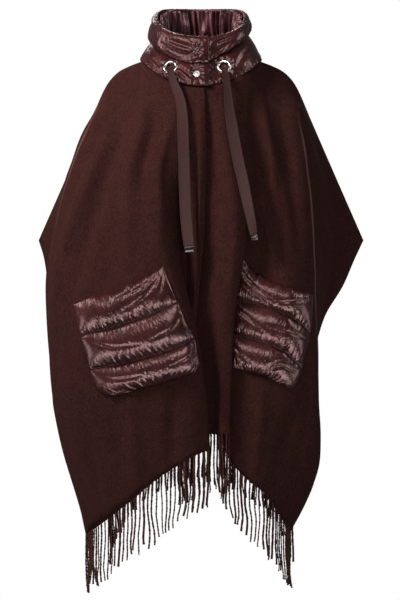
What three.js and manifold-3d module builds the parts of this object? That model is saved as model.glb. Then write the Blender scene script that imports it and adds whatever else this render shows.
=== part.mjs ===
// A worn cape of brushed wool with a padded stand collar, two padded patch pockets,
// a ribbon drawstring and fringed hems. Millimetres, +Z up, front towards -Y.
// The origin is the middle of the neck, level with the collar seam at the sides.
// The cloth panels are lofted through their own fold lines, and everything that lies on
// a panel is made from that panel's points, moved out.
import * as THREE from 'three';
import { mergeVertices } from 'three/addons/utils/BufferGeometryUtils.js';
import Module from 'manifold-3d';

const wasm = await Module();
wasm.setup();

// Cloth
const CLOTH = 2.4;
const SEAM_GAP = 0.8;
const SHOULDER_GAP = 0.6;
const ROWS_PER_LEVEL = 2;
const FULL_TURN = 360;

// Neckline, where the collar is sewn to the wool
const NECK_HALF_WIDTH = 110;
const NECK_FRONT = 98;
const NECK_BACK = 84;
const NECK_FRONT_DROP = 56;
const NECK_BACK_RISE = 12;
const NECK_SLOPE = 1.7;

// Collar rim
const RIM_HALF_WIDTH = 78;
const RIM_SQUARENESS = 0.25;
const RIM_FRONT = 72;
const RIM_BACK = 66;
const RIM_HEIGHT_FRONT = 37;
const RIM_HEIGHT_BACK = 107;
const RIM_DIP = 1.65;
const COLLAR_FLARE = 3;
const FLAP_OVER_END = 7;
const FLAP_UNDER_END = -368;
const FLAP_LAP = 5;

// Small metal pieces
const EYELET_RADIUS = 13.5;
const EYELET_HOLE = 8;
const EYELET_THICKNESS = 3;
const CLIP_WIDTH = 17;
const CLIP_HEIGHT = 10;
const CLIP_THICKNESS = 4.4;
const CLIP_BEVEL = 0.6;

// Ribbon drawstring
const RIBBON_THICKNESS = 1.6;

// Fringe
const FRINGE_GAP = 1.5;
const FRINGE_STRIP = 4;
const STRAND_RADIUS = 1.6;
const STRAND_ROOT = 1.15;
const STRAND_LENGTH = 100;
const FRINGE_INSET = 0.005;
const TURN_REACH = 0.006;

const wool = new THREE.MeshStandardMaterial({ color: 0x43262a, roughness: 0.95, metalness: 0 });
const nylon = new THREE.MeshStandardMaterial({ color: 0x4c2a2c, roughness: 0.3, metalness: 0 });
const ribbonCloth = new THREE.MeshStandardMaterial({ color: 0x3f2928, roughness: 0.6, metalness: 0 });
const metal = new THREE.MeshStandardMaterial({ color: 0xc9c7c9, roughness: 0.2, metalness: 1 });

const vector = (values) => new THREE.Vector3(values[0], values[1], values[2]);
const curveThrough = (points) => new THREE.CatmullRomCurve3(points, false, 'centripetal');
const mix = (a, b, t) => a + (b - a) * t;
const smooth = (t) => THREE.MathUtils.smoothstep(t, 0, 1);

// A value that changes smoothly through the rows of a short table of [place, value].
function valueAt(table, place) {
  const last = table.length - 1;
  const next = Math.max(1, table.findIndex((row) => row[0] >= place));
  const row = place >= table[last][0] ? last : next;
  const [x0, y0] = table[row - 1];
  const [x1, y1] = table[row];
  return mix(y0, y1, smooth((place - x0) / (x1 - x0)));
}

// Point of the neckline at an angle from the middle of the front, positive towards +X.
function neckline(degrees, out = 0) {
  const angle = THREE.MathUtils.degToRad(degrees);
  const forward = Math.cos(angle);
  const middle = (NECK_BACK - NECK_FRONT) / 2;
  const reach = (NECK_BACK + NECK_FRONT) / 2;
  const height = forward > 0
    ? -NECK_FRONT_DROP * forward ** NECK_SLOPE
    : NECK_BACK_RISE * (-forward) ** NECK_SLOPE;
  return new THREE.Vector3(
    (NECK_HALF_WIDTH + out) * Math.sin(angle),
    middle - (reach + out) * forward,
    height,
  );
}

// Shoulder line, from the side of the neck over the shoulder to the tip at the elbow.
const shoulderLine = curveThrough([
  [NECK_HALF_WIDTH, -7, 0],
  [132, -4, -8],
  [152, -1, -18],
  [168, 2, -33],
  [180, 4, -52],
  [204, 8, -107],
  [248, 14, -207],
  [302, 20, -329],
].map(vector));

function shoulder(side, share) {
  const point = shoulderLine.getPointAt(share);
  point.x *= side;
  return point;
}

// The direction straight out of the shoulder line, shared by the front and the back,
// so that their edges lie flat against each other.
function shoulderNormal(side, share) {
  const along = shoulderLine.getTangentAt(share);
  return new THREE.Vector3(-along.z * side, 0, along.x).normalize();
}

// Fold lines of the three wool panels. A row is one line that runs down the cloth. Its
// top lies on the neckline (an angle, with a lap outwards) or on the shoulder line
// (a share of it). Its path passes through the levels below the top, down to the hem.
const frontLeft = {
  side: -1,
  seamShift: -SHOULDER_GAP / 2,
  steps: [2, 2, 2, 2, 2, 2, 3, 3, 5],
  folds: [
    { name: 'front edge', neck: 3, lap: 3, path: [
      [8, -122, -128], [10, -136, -200], [8, -144, -272], [4, -147, -352],
      [-5, -141, -440], [-13, -131, -529], [-15, -127, -619], [-15, -123, -691],
    ] },
    { name: 'front strip', neck: -2, lap: 3, path: [
      [-3, -126, -128], [-2, -142, -200], [-3, -150, -272], [-4, -155, -352],
      [-13, -145, -440], [-24, -131, -529], [-27, -127, -619], [-27, -123, -695],
    ] },
    { name: 'deep valley', neck: -9, lap: 2, path: [
      [-21, -124, -128], [-30, -131, -200], [-30, -122, -270], [-30, -116, -351],
      [-28, -120, -440], [-39, -127, -529], [-41, -126, -619], [-41, -124, -699],
    ] },
    { name: 'roll edge', neck: -18, lap: 1, path: [
      [-41, -122, -128], [-62, -136, -200], [-59, -150, -272], [-48, -158, -352],
      [-22, -162, -440], [-2, -160, -529], [10, -153, -617], [16, -145, -705],
    ] },
    { name: 'roll', neck: -31, lap: 0, path: [
      [-64, -118, -127], [-84, -138, -200], [-81, -158, -272], [-72, -170, -352],
      [-48, -176, -440], [-26, -175, -528], [-14, -169, -617], [-7, -158, -714],
    ] },
    { name: 'pocket, inner', neck: -58, lap: 0, path: [
      [-91, -110, -126], [-116, -132, -200], [-121, -150, -272], [-115, -162, -352],
      [-97, -170, -440], [-81, -171, -528], [-72, -166, -617], [-67, -154, -750],
    ] },
    { name: 'pocket, outer', neck: -90, shoulder: 0, lap: 0, path: [
      [-119, -98, -125], [-147, -116, -199], [-162, -128, -271], [-167, -135, -351],
      [-160, -150, -440], [-151, -154, -529], [-144, -151, -618], [-133, -138, -804],
    ] },
    { name: 'soft ridge', shoulder: 0.13, path: [
      [-150, -78, -124], [-175, -98, -197], [-193, -115, -270], [-211, -126, -351],
      [-225, -132, -440], [-221, -133, -529], [-218, -130, -619], [-181, -110, -842],
    ] },
    { name: 'outer fold', shoulder: 0.27, path: [
      [-201, -46, -115], [-228, -56, -174], [-254, -64, -251], [-276, -70, -357],
      [-279, -72, -484], [-272, -70, -594], [-256, -68, -685], [-199, -78, -857],
    ] },
    { name: 'selvedge', shoulder: 1, path: [
      [-292, 14, -362], [-283, 8, -422], [-275, 2, -487], [-267, -4, -560],
      [-256, -12, -634], [-242, -24, -716], [-226, -38, -797], [-211, -52, -867],
    ] },
  ],
};

const frontRight = {
  side: 1,
  seamShift: -SHOULDER_GAP / 2,
  steps: [2, 2, 2, 2, 3, 3, 3, 3, 4],
  folds: [
    { name: 'front edge', neck: -7, lap: -1, path: [
      [-16, -106, -126], [-17, -112, -199], [-19, -110, -271], [-22, -106, -351],
      [-25, -106, -440], [-27, -106, -530], [-27, -105, -620], [-25, -104, -676],
    ] },
    { name: 'front strip', neck: 4, lap: -1, path: [
      [9, -113, -127], [12, -127, -199], [12, -134, -271], [12, -137, -351],
      [14, -136, -440], [18, -133, -529], [23, -128, -619], [23, -124, -680],
    ] },
    { name: 'strip crest', neck: 15, lap: -0.5, path: [
      [30, -117, -127], [37, -136, -200], [41, -147, -272], [39, -153, -352],
      [36, -156, -440], [36, -155, -529], [35, -151, -618], [35, -147, -679],
    ] },
    { name: 'strip fold', neck: 27, lap: 0, path: [
      [52, -114, -127], [64, -131, -200], [75, -143, -272], [74, -150, -352],
      [61, -154, -440], [56, -154, -529], [52, -151, -618], [51, -147, -679],
    ] },
    { name: 'under fold', neck: 42, lap: 0, path: [
      [75, -107, -126], [84, -118, -199], [84, -122, -270], [66, -121, -351],
      [46, -121, -440], [38, -122, -529], [34, -121, -619], [36, -117, -694],
    ] },
    { name: 'pocket, inner', neck: 64, lap: 0, path: [
      [99, -96, -125], [111, -106, -198], [111, -110, -270], [104, -112, -351],
      [91, -126, -440], [82, -138, -529], [76, -138, -618], [69, -128, -748],
    ] },
    { name: 'pocket, outer', neck: 90, shoulder: 0, lap: 0, path: [
      [128, -82, -124], [142, -102, -198], [154, -122, -270], [159, -132, -351],
      [155, -140, -440], [147, -144, -529], [140, -142, -618], [116, -128, -788],
    ] },
    { name: 'outer fold', shoulder: 0.27, path: [
      [177, -50, -97], [187, -76, -165], [198, -96, -262], [203, -106, -356],
      [206, -108, -458], [208, -104, -584], [209, -90, -742], [152, -84, -845],
    ] },
    { name: 'side hollow', shoulder: 0.6, path: [
      [229, -10, -210], [239, -24, -275], [236, -40, -349], [216, -56, -440],
      [208, -62, -531], [206, -66, -631], [208, -70, -762], [158, -74, -853],
    ] },
    { name: 'selvedge', shoulder: 1, path: [
      [288, 18, -358], [264, 14, -412], [228, 8, -474], [210, -2, -533],
      [204, -16, -615], [204, -32, -697], [203, -48, -781], [162, -62, -862],
    ] },
  ],
};

// The back's right half, from the middle to the tip. The left half mirrors it, with its
// flutes a little wider and shallower.
const backMiddle = { name: 'middle', neck: 180, lap: 0, path: [
  [0, 98, -60], [0, 114, -140], [0, 121, -230], [0, 122, -320],
  [0, 122, -410], [0, 121, -500], [0, 121, -600], [0, 122, -680],
] };
const backHalf = [
  { name: 'inner flute', neck: 150, lap: 0, path: [
    [52, 92, -60], [50, 110, -140], [50, 123, -230], [50, 130, -320],
    [50, 136, -410], [49, 140, -500], [48, 143, -600], [46, 145, -692],
  ] },
  { name: 'inner valley', neck: 118, lap: 0, path: [
    [92, 72, -60], [96, 94, -140], [98, 106, -230], [98, 108, -320],
    [97, 106, -410], [95, 104, -510], [90, 104, -610], [84, 104, -706],
  ] },
  { name: 'blade flute', neck: 90, shoulder: 0, lap: 0, path: [
    [118, 40, -60], [132, 74, -140], [140, 96, -230], [143, 110, -320],
    [142, 120, -420], [138, 127, -520], [128, 131, -620], [113, 132, -730],
  ] },
  { name: 'outer valley', shoulder: 0.14, path: [
    [160, 30, -80], [174, 60, -160], [180, 80, -250], [180, 88, -340],
    [174, 90, -440], [166, 90, -540], [154, 90, -650], [135, 92, -756],
  ] },
  { name: 'outer flute', shoulder: 0.3, path: [
    [206, 34, -140], [220, 58, -220], [228, 74, -310], [222, 84, -400],
    [208, 91, -500], [192, 96, -600], [174, 98, -700], [152, 97, -782],
  ] },
  { name: 'side fall', shoulder: 0.64, path: [
    [262, 34, -290], [256, 48, -360], [236, 60, -430], [215, 70, -500],
    [203, 77, -580], [193, 82, -660], [181, 87, -740], [164, 88, -810],
  ] },
  { name: 'selvedge', shoulder: 1, path: [
    [286, 30, -358], [265, 40, -400], [241, 50, -450], [218, 58, -510],
    [206, 64, -580], [198, 68, -660], [189, 72, -750], [174, 77, -838],
  ] },
];
const MIRROR_WIDER = 1.04;
const MIRROR_FLATTER = 4;

function mirrored(fold, place) {
  const shallower = place % 2 === 0 ? -MIRROR_FLATTER : MIRROR_FLATTER;
  const path = fold.path.map(([x, y, z], level) => {
    const grown = level / (fold.path.length - 1);
    const selvedge = fold.shoulder === 1;
    return [-x * (selvedge ? 1 : mix(1, MIRROR_WIDER, grown)), y + (selvedge ? 0 : shallower * grown), z];
  });
  return { ...fold, neck: fold.neck === undefined ? undefined : -fold.neck, mirrored: true, path };
}

const back = {
  side: 1,
  seamShift: SHOULDER_GAP / 2,
  steps: Array(2 * backHalf.length).fill(2),
  folds: [...backHalf.map(mirrored).reverse(), backMiddle, ...backHalf],
};

// Top of the cloth at a place between two fold lines. The back's mirrored half counts
// its angles on from 180, so that they run evenly past the middle.
const sideOf = (panel, fold) => (fold.mirrored ? -panel.side : panel.side);
const neckAngle = (fold) => (fold.mirrored ? fold.neck + FULL_TURN : fold.neck);

function topAt(panel, place) {
  const index = Math.min(Math.floor(place), panel.folds.length - 2);
  const share = place - index;
  const [a, b] = [panel.folds[index], panel.folds[index + 1]];
  if (a.neck !== undefined && b.neck !== undefined) {
    return neckline(mix(neckAngle(a), neckAngle(b), share), mix(a.lap, b.lap, share));
  }
  const outer = a.neck === undefined ? a : b;
  const point = shoulder(sideOf(panel, outer), mix(a.shoulder, b.shoulder, share));
  point.y += panel.seamShift;
  return point;
}

for (const panel of [frontLeft, frontRight, back]) {
  panel.lines = panel.folds.map((fold, index) => (
    curveThrough([topAt(panel, index), ...fold.path.map(vector)])));
  panel.levels = panel.folds[0].path.length;
  panel.topCurve = curveThrough(panel.lines.map((line) => line.getPoint(0)));
}

// Outer face of a panel: place counts the fold lines from the first one, level counts
// the levels from the top edge down.
function onPanel(panel, place, level) {
  const across = curveThrough(panel.lines.map((line) => line.getPoint(level / panel.levels)));
  const share = place / (panel.folds.length - 1);
  const point = across.getPoint(share);
  if (level < 1) {
    const miss = topAt(panel, place).sub(panel.topCurve.getPoint(share));
    point.addScaledVector(miss, (1 - level) ** 2);
  }
  return point;
}

function steppedPlaces(steps) {
  const places = [0];
  steps.forEach((count, index) => {
    for (let step = 1; step <= count; step += 1) {
      places.push(index + step / count);
    }
  });
  return places;
}

const gridOf = (rows, columns, pointAt) => rows.map((row) => columns.map((column) => pointAt(column, row)));

// Normals of a grid of points, turned so that the first one leans along the guide.
function normalsOf(grid, guide) {
  const rows = grid.length;
  const columns = grid[0].length;
  const between = (a, b) => new THREE.Vector3().subVectors(b, a);
  const normals = grid.map((row, i) => row.map((point, j) => {
    const along = between(row[Math.max(0, j - 1)], row[Math.min(columns - 1, j + 1)]);
    const down = between(grid[Math.max(0, i - 1)][j], grid[Math.min(rows - 1, i + 1)][j]);
    return along.cross(down).normalize();
  }));
  const turn = normals[rows >> 1][columns >> 1].dot(guide) < 0 ? -1 : 1;
  return normals.map((row) => row.map((normal) => normal.multiplyScalar(turn)));
}

const moved = (grid, normals, distance) => grid.map((row, i) => row.map((point, j) => {
  const far = typeof distance === 'function' ? distance(i, j) : distance;
  return point.clone().addScaledVector(normals[i][j], far);
}));

// A closed body from its points and triangles, turned right side out.
function closedBody(positions, index) {
  const at = (k) => new THREE.Vector3(positions[3 * k], positions[3 * k + 1], positions[3 * k + 2]);
  let volume = 0;
  for (let k = 0; k < index.length; k += 3) {
    volume += at(index[k]).dot(at(index[k + 1]).cross(at(index[k + 2])));
  }
  if (volume < 0) {
    index.reverse();
  }
  const geometry = new THREE.BufferGeometry();
  geometry.setAttribute('position', new THREE.Float32BufferAttribute(positions, 3));
  geometry.setIndex(index);
  geometry.computeVertexNormals();
  return geometry;
}

// A wall between two grids of the same size, closed along its four edges.
function wall(outer, inner) {
  const rows = outer.length;
  const columns = outer[0].length;
  const positions = [outer, inner].flatMap((grid) => grid.flat().flatMap((p) => [p.x, p.y, p.z]));
  const at = (layer, i, j) => (layer * rows + i) * columns + j;
  const index = [];
  const quad = (a, b, c, d) => index.push(a, b, c, a, c, d);
  for (let i = 0; i < rows - 1; i += 1) {
    for (let j = 0; j < columns - 1; j += 1) {
      quad(at(0, i, j), at(0, i, j + 1), at(0, i + 1, j + 1), at(0, i + 1, j));
      quad(at(1, i, j), at(1, i + 1, j), at(1, i + 1, j + 1), at(1, i, j + 1));
    }
    quad(at(0, i, 0), at(0, i + 1, 0), at(1, i + 1, 0), at(1, i, 0));
    quad(at(1, i, columns - 1), at(1, i + 1, columns - 1), at(0, i + 1, columns - 1), at(0, i, columns - 1));
  }
  for (let j = 0; j < columns - 1; j += 1) {
    quad(at(1, 0, j), at(1, 0, j + 1), at(0, 0, j + 1), at(0, 0, j));
    quad(at(0, rows - 1, j), at(0, rows - 1, j + 1), at(1, rows - 1, j + 1), at(1, rows - 1, j));
  }
  return closedBody(positions, index);
}

const cape = new THREE.Group();

function addPiece(name, geometry, material) {
  const mesh = new THREE.Mesh(geometry, material);
  mesh.name = name;
  cape.add(mesh);
  return mesh;
}

// Wool panels
function buildPanel(panel, guide) {
  const places = steppedPlaces(panel.steps);
  const levels = steppedPlaces(Array(panel.levels).fill(ROWS_PER_LEVEL));
  const outer = gridOf(levels, places, (place, level) => onPanel(panel, place, level));
  const normals = normalsOf(outer, guide);
  places.forEach((place, j) => {
    const a = panel.folds[Math.floor(place)];
    const b = panel.folds[Math.ceil(place)];
    if (a.shoulder !== undefined && b.shoulder !== undefined) {
      const share = mix(a.shoulder, b.shoulder, place - Math.floor(place));
      normals[0][j] = shoulderNormal(sideOf(panel, a), share);
    }
  });
  const inner = moved(outer, normals, -CLOTH);
  return { outer, inner, places, levels };
}

// Point of a built panel's outer face, on its flat facets.
function onFacets(walls, place, level) {
  const cell = (values, value) => {
    const index = Math.min(values.findLastIndex((start) => start <= value), values.length - 2);
    return [index, (value - values[index]) / (values[index + 1] - values[index])];
  };
  const [j, across] = cell(walls.places, place);
  const [i, down] = cell(walls.levels, level);
  const upper = walls.outer[i][j].clone().lerp(walls.outer[i][j + 1], across);
  const lower = walls.outer[i + 1][j].clone().lerp(walls.outer[i + 1][j + 1], across);
  return upper.lerp(lower, down);
}

const towardsFront = new THREE.Vector3(0, -1, 0);
const towardsBack = new THREE.Vector3(0, 1, 0);
const leftWalls = buildPanel(frontLeft, towardsFront);
const rightWalls = buildPanel(frontRight, towardsFront);
const backWalls = buildPanel(back, towardsBack);
addPiece('front_left', wall(leftWalls.outer, leftWalls.inner), wool);
addPiece('front_right', wall(rightWalls.outer, rightWalls.inner), wool);
addPiece('back', wall(backWalls.outer, backWalls.inner), wool);

// Collar. Angles run as on the neckline, from the end of the upper flap, round the left
// side, the back and the right side, to the end of the lower flap.
// Height of the upper channel's lower lip, as a share of the collar's height.
const lipTable = [
  [-368, 0.43], [-350, 0.5], [-333, 0.57], [-315, 0.63], [-285, 0.62], [-240, 0.56],
  [-180, 0.5], [-90, 0.4], [-60, 0.42], [-35, 0.44], [-14, 0.42], [7, 0.47],
];
// How far the padding stands out, less at the flaps that the snaps press together.
const fillTable = [[-368, 0.42], [-345, 0.5], [-320, 1], [-180, 1], [-40, 1], [-12, 0.62], [7, 0.55]];
const lapTable = [[-368, -FLAP_LAP], [-345, -FLAP_LAP], [-300, 0], [-60, 0], [-12, FLAP_LAP], [7, FLAP_LAP]];

function collarPoint(degrees, height, out) {
  const angle = THREE.MathUtils.degToRad(degrees);
  const forward = Math.cos(angle);
  const sideways = Math.sin(angle);
  const flare = 1 - (1 - height) ** COLLAR_FLARE;
  const seam = neckline(degrees);
  const rim = new THREE.Vector3(
    RIM_HALF_WIDTH * sideways * (1 + RIM_SQUARENESS * forward ** 2),
    (RIM_BACK - RIM_FRONT) / 2 - ((RIM_BACK + RIM_FRONT) / 2) * forward,
    mix(RIM_HEIGHT_BACK, RIM_HEIGHT_FRONT, ((forward + 1) / 2) ** RIM_DIP),
  );
  const away = out + valueAt(lapTable, degrees);
  return new THREE.Vector3(
    mix(seam.x, rim.x, flare) + away * sideways,
    mix(seam.y, rim.y, flare) - away * forward,
    mix(seam.z, rim.z, height) + SEAM_GAP,
  );
}

// Sections of the two channels: rows of [share of the channel's height, distance out].
const lowerOuter = [[0, 1.6], [0.12, 6], [0.36, 9.5], [0.64, 9.5], [0.86, 6], [0.985, 1.6]];
const lowerInner = [[0, 0], [0.2, 0], [0.4, 0], [0.6, 0], [0.8, 0], [0.985, 0]];
const upperOuter = [
  [0.12, 2], [0, 8.5], [0.07, 13], [0.27, 15.5], [0.5, 15], [0.75, 12.5], [0.93, 8.5], [1, 2],
];
const upperInner = [[0.15, 1], [0.22, 0], [0.32, 0], [0.44, 0], [0.56, 0], [0.7, 0], [0.85, 0], [0.97, 0.5]];
const JUNCTION = 0.12;
const FULL_LIP = 0.5;

const lowerHeight = (degrees, share) => {
  const lip = valueAt(lipTable, degrees);
  return share * (lip + JUNCTION * (1 - lip));
};
const upperHeight = (degrees, share) => {
  const lip = valueAt(lipTable, degrees);
  return lip + (1 - lip) * share;
};
const fill = (degrees, out) => (out > 0 ? 1 + (out - 1) * valueAt(fillTable, degrees) : out);
const upperFill = (degrees, out) => {
  const narrow = Math.sqrt((1 - valueAt(lipTable, degrees)) / FULL_LIP);
  return fill(degrees, out * Math.min(1, narrow));
};

const angles = (from, to, count) => (
  Array.from({ length: count + 1 }, (unused, k) => mix(from, to, k / count)));
const COLLAR_STEPS = 40;
const collarAngles = angles(FLAP_OVER_END, FLAP_UNDER_END, COLLAR_STEPS);
const lowerGrid = (section) => gridOf(section, collarAngles, (degrees, [share, out]) => (
  collarPoint(degrees, lowerHeight(degrees, share), fill(degrees, out))));
const upperGrid = (section) => gridOf(section, collarAngles, (degrees, [share, out]) => (
  collarPoint(degrees, upperHeight(degrees, share), upperFill(degrees, out))));
addPiece('collar_lower', wall(lowerGrid(lowerOuter), lowerGrid(lowerInner)), nylon);
addPiece('collar_upper', wall(upperGrid(upperOuter), upperGrid(upperInner)), nylon);

// Gathered cloth inside the neck
const LINING_START = -20;
const GATHERS = 20;
const LINING_GAP = 1;
const GATHER_DEPTH = 3;
const LINING_THICKNESS = 1.2;
const liningAngles = angles(LINING_START, FLAP_UNDER_END, GATHERS * 3);
const liningHeights = [0.03, 0.12, 0.25, 0.45, 0.7, 0.95];
const liningOut = (degrees) => {
  const turns = ((degrees - LINING_START) / (FLAP_UNDER_END - LINING_START)) * GATHERS;
  return -LINING_GAP - GATHER_DEPTH * (0.5 + 0.5 * Math.cos(turns * 2 * Math.PI));
};
const liningFace = (depth) => gridOf(liningHeights, liningAngles, (degrees, height) => (
  collarPoint(degrees, height, liningOut(degrees) - depth)));
addPiece('collar_lining', wall(liningFace(0), liningFace(LINING_THICKNESS)), nylon);

// Patch pockets. A row is one of the quilted channels' borders, from the mouth to the
// bottom seam: the panel's place and level at the pocket's left and right end.
const pocketLeft = {
  walls: leftWalls,
  sag: 0.04,
  borders: [
    { name: 'mouth', start: [7.02, 5.08], end: [4.05, 4.33] },
    { name: 'seam one', start: [6.86, 5.76], end: [3.85, 5.04] },
    { name: 'seam two', start: [6.64, 6.45], end: [3.42, 5.76] },
    { name: 'bottom', start: [6.42, 6.98], end: [3.36, 6.36] },
  ],
};
const pocketRight = {
  walls: rightWalls,
  sag: 0.2,
  borders: [
    { name: 'mouth', start: [4.3, 4.1], end: [6.8, 4.8] },
    { name: 'seam one', start: [4.3, 4.9], end: [6.67, 5.47] },
    { name: 'seam two', start: [4.3, 5.6], end: [6.42, 6.14] },
    { name: 'bottom', start: [4.3, 6.28], end: [6.16, 6.76] },
  ],
};
const POCKET_CLEARANCE = 1.9;
const POCKET_PUFF = 11;
const POCKET_HEM = 2.2;
const POCKET_COLUMNS = 10;
const POCKET_CORNER = 0.13;
const POCKET_CORNER_DROP = 0.39;
// Shares of a channel's height where its section is taken, and how full it is there.
const channelSection = [[0, 0], [0.2, 0.72], [0.5, 1], [0.8, 0.74]];

function pocketPoint(pocket, across, down) {
  const channel = Math.min(Math.floor(down), pocket.borders.length - 2);
  const share = down - channel;
  const upper = pocket.borders[channel];
  const lower = pocket.borders[channel + 1];
  const corner = Math.max(0, down - (pocket.borders.length - 1) + POCKET_CORNER_DROP) / POCKET_CORNER_DROP;
  const inset = POCKET_CORNER * (1 - Math.sqrt(Math.max(0, 1 - corner ** 2)));
  const place = mix(inset, 1 - inset, across);
  const start = upper.start.map((value, k) => mix(value, lower.start[k], share));
  const end = upper.end.map((value, k) => mix(value, lower.end[k], share));
  const sag = pocket.sag * 4 * place * (1 - place) * Math.max(0, 1 - down);
  return onFacets(pocket.walls, mix(start[0], end[0], place), mix(start[1], end[1], place) + sag);
}

function buildPocket(pocket) {
  const channels = pocket.borders.length - 1;
  const rows = [];
  for (let channel = 0; channel < channels; channel += 1) {
    channelSection.forEach(([share, puff]) => rows.push({ down: channel + share, puff }));
  }
  rows.push({ down: channels, puff: 0 });
  const columns = Array.from({ length: POCKET_COLUMNS + 1 }, (unused, k) => k / POCKET_COLUMNS);
  const lying = gridOf(rows, columns, (across, row) => pocketPoint(pocket, across, row.down));
  const normals = normalsOf(lying, towardsFront);
  const inner = moved(lying, normals, POCKET_CLEARANCE);
  const outer = moved(lying, normals, (i, j) => {
    const edge = Math.min(1, 4 * Math.min(columns[j], 1 - columns[j]));
    const puff = rows[i].puff * Math.sqrt(edge);
    return POCKET_CLEARANCE + POCKET_HEM + POCKET_PUFF * puff;
  });
  return wall(outer, inner);
}
addPiece('pocket_left', buildPocket(pocketLeft), nylon);
addPiece('pocket_right', buildPocket(pocketRight), nylon);

// Metal pieces on the collar, each on the face of its channel. The tilt is taken
// between two places this far to each side.
const TILT_ANGLE = 3;
const TILT_SHARE = 0.04;
function placedOnCollar(geometry, degrees, height, crown, lift) {
  const face = (angle, share) => collarPoint(angle, share, fill(angle, crown));
  const along = face(degrees + TILT_ANGLE, height).sub(face(degrees - TILT_ANGLE, height));
  const up = face(degrees, height + TILT_SHARE).sub(face(degrees, height - TILT_SHARE));
  const normal = along.cross(up).normalize();
  geometry.applyQuaternion(new THREE.Quaternion().setFromUnitVectors(new THREE.Vector3(0, 1, 0), normal));
  geometry.translate(...face(degrees, height).addScaledVector(normal, lift).toArray());
  return geometry;
}

function ringProfile(hole, radius, thickness) {
  const middle = (hole + radius) / 2;
  return [
    [hole, 0], [radius, 0], [radius, thickness * 0.5], [middle + 1.5, thickness],
    [middle - 1.5, thickness], [hole, thickness * 0.5], [hole, 0],
  ].map(([r, y]) => new THREE.Vector2(r, y));
}

function capProfile(radius, thickness) {
  return [
    [0, 0], [radius, 0], [radius, thickness * 0.45], [radius * 0.8, thickness * 0.85], [0, thickness],
  ].map(([r, y]) => new THREE.Vector2(r, y));
}

const EYELET_SIDES = 20;
const SNAP_SIDES = 16;
const SEAT = 0.5;
const eyelet = () => new THREE.LatheGeometry(
  ringProfile(EYELET_HOLE, EYELET_RADIUS, EYELET_THICKNESS),
  EYELET_SIDES,
);
const snap = (radius, thickness) => new THREE.LatheGeometry(capProfile(radius, thickness), SNAP_SIDES);
// Angle and share of the collar's height at a piece's middle, and how far out the full
// channel stands there.
const smallPieces = [
  { name: 'eyelet_left', form: eyelet(), material: metal, degrees: -29.5, height: 0.27, crown: 9.8 },
  { name: 'eyelet_right', form: eyelet(), material: metal, degrees: -336, height: 0.33, crown: 10.3 },
  { name: 'snap_lower', form: snap(6.2, 3.2), material: metal, degrees: -4, height: 0.23, crown: 9.8 },
  { name: 'snap_covered', form: snap(5, 2.2), material: nylon, degrees: -4, height: 0.365, crown: 9.5 },
  { name: 'snap_upper', form: snap(4.5, 2.2), material: metal, degrees: -4, height: 0.72, crown: 14.8 },
];
for (const piece of smallPieces) {
  const placed = placedOnCollar(piece.form, piece.degrees, piece.height, piece.crown, SEAT);
  addPiece(piece.name, placed, piece.material);
}

// Ribbon drawstring. A row is a point of the ribbon's middle line with the ribbon's
// width there and its turn about that line, in degrees.
const ribbonLeftPath = [
  { at: [-55, -85.8, -19], width: 13, turn: 0 },
  { at: [-55.5, -91.2, -23], width: 12.5, turn: 0 },
  { at: [-54.5, -97, -31], width: 12.5, turn: 6 },
  { at: [-50.5, -103, -46], width: 14, turn: 14 },
  { at: [-45, -107, -60], width: 16, turn: 18 },
  { at: [-40, -112, -73], width: 17, turn: 18 },
  { at: [-35.5, -119, -92], width: 18.5, turn: 14 },
  { at: [-33, -129, -120], width: 20, turn: 8 },
  { at: [-32, -138, -150], width: 20, turn: 2 },
  { at: [-31, -145, -180], width: 20, turn: 0 },
  { at: [-30, -149, -215], width: 20, turn: 0 },
  { at: [-29, -152, -250], width: 20, turn: 0 },
  { at: [-27.5, -156, -285], width: 20, turn: 4 },
  { at: [-24.5, -160, -318], width: 20, turn: 8 },
  { at: [-21.5, -162, -345], width: 18, turn: 8 },
];
const ribbonRightPath = [
  { at: [41.5, -77, -18], width: 13, turn: 0 },
  { at: [42, -82, -22], width: 12.5, turn: 0 },
  { at: [43.5, -88.6, -31], width: 12, turn: -8 },
  { at: [46, -103, -50], width: 12.5, turn: -14 },
  { at: [48.5, -111, -75], width: 15, turn: -16 },
  { at: [51, -118, -103], width: 18, turn: -10 },
  { at: [55, -125, -128], width: 20, turn: -4 },
  { at: [60, -133, -160], width: 20, turn: 0 },
  { at: [66.5, -141, -195], width: 20, turn: 4 },
  { at: [72, -146, -219], width: 20, turn: 10 },
  { at: [77, -150, -243], width: 20, turn: 18 },
  { at: [83.5, -154, -275], width: 20, turn: 30 },
  { at: [90, -156, -307], width: 19, turn: 40 },
  { at: [93, -157, -325], width: 17, turn: 44 },
];

// The ribbon's flat section, with its long sides a little rounded off.
const ribbonSection = [
  [-1, -0.4], [-0.9, -1], [0.9, -1], [1, -0.4], [1, 0.4], [0.9, 1], [-0.9, 1], [-1, 0.4],
];

function ribbonFrame(path, share) {
  const curve = curveThrough(path.map((row) => vector(row.at)));
  const count = path.length - 1;
  const index = Math.min(Math.floor(share * count), count - 1);
  const part = share * count - index;
  const width = mix(path[index].width, path[index + 1].width, part);
  const turn = THREE.MathUtils.degToRad(mix(path[index].turn, path[index + 1].turn, part));
  const at = curve.getPoint(share);
  const along = curve.getTangent(share);
  const across = new THREE.Vector3(1, 0, 0).addScaledVector(along, -along.x).normalize();
  across.applyAxisAngle(along, turn);
  const face = new THREE.Vector3().crossVectors(across, along).normalize();
  return { at, along, across, face, width };
}

function ribbon(path) {
  const rings = [];
  const steps = (path.length - 1) * 2;
  for (let k = 0; k <= steps; k += 1) {
    const { at, across, face, width } = ribbonFrame(path, k / steps);
    rings.push(ribbonSection.map(([s, t]) => at.clone()
      .addScaledVector(across, s * width / 2)
      .addScaledVector(face, t * RIBBON_THICKNESS / 2)));
  }
  return sweptBody(rings);
}

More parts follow.
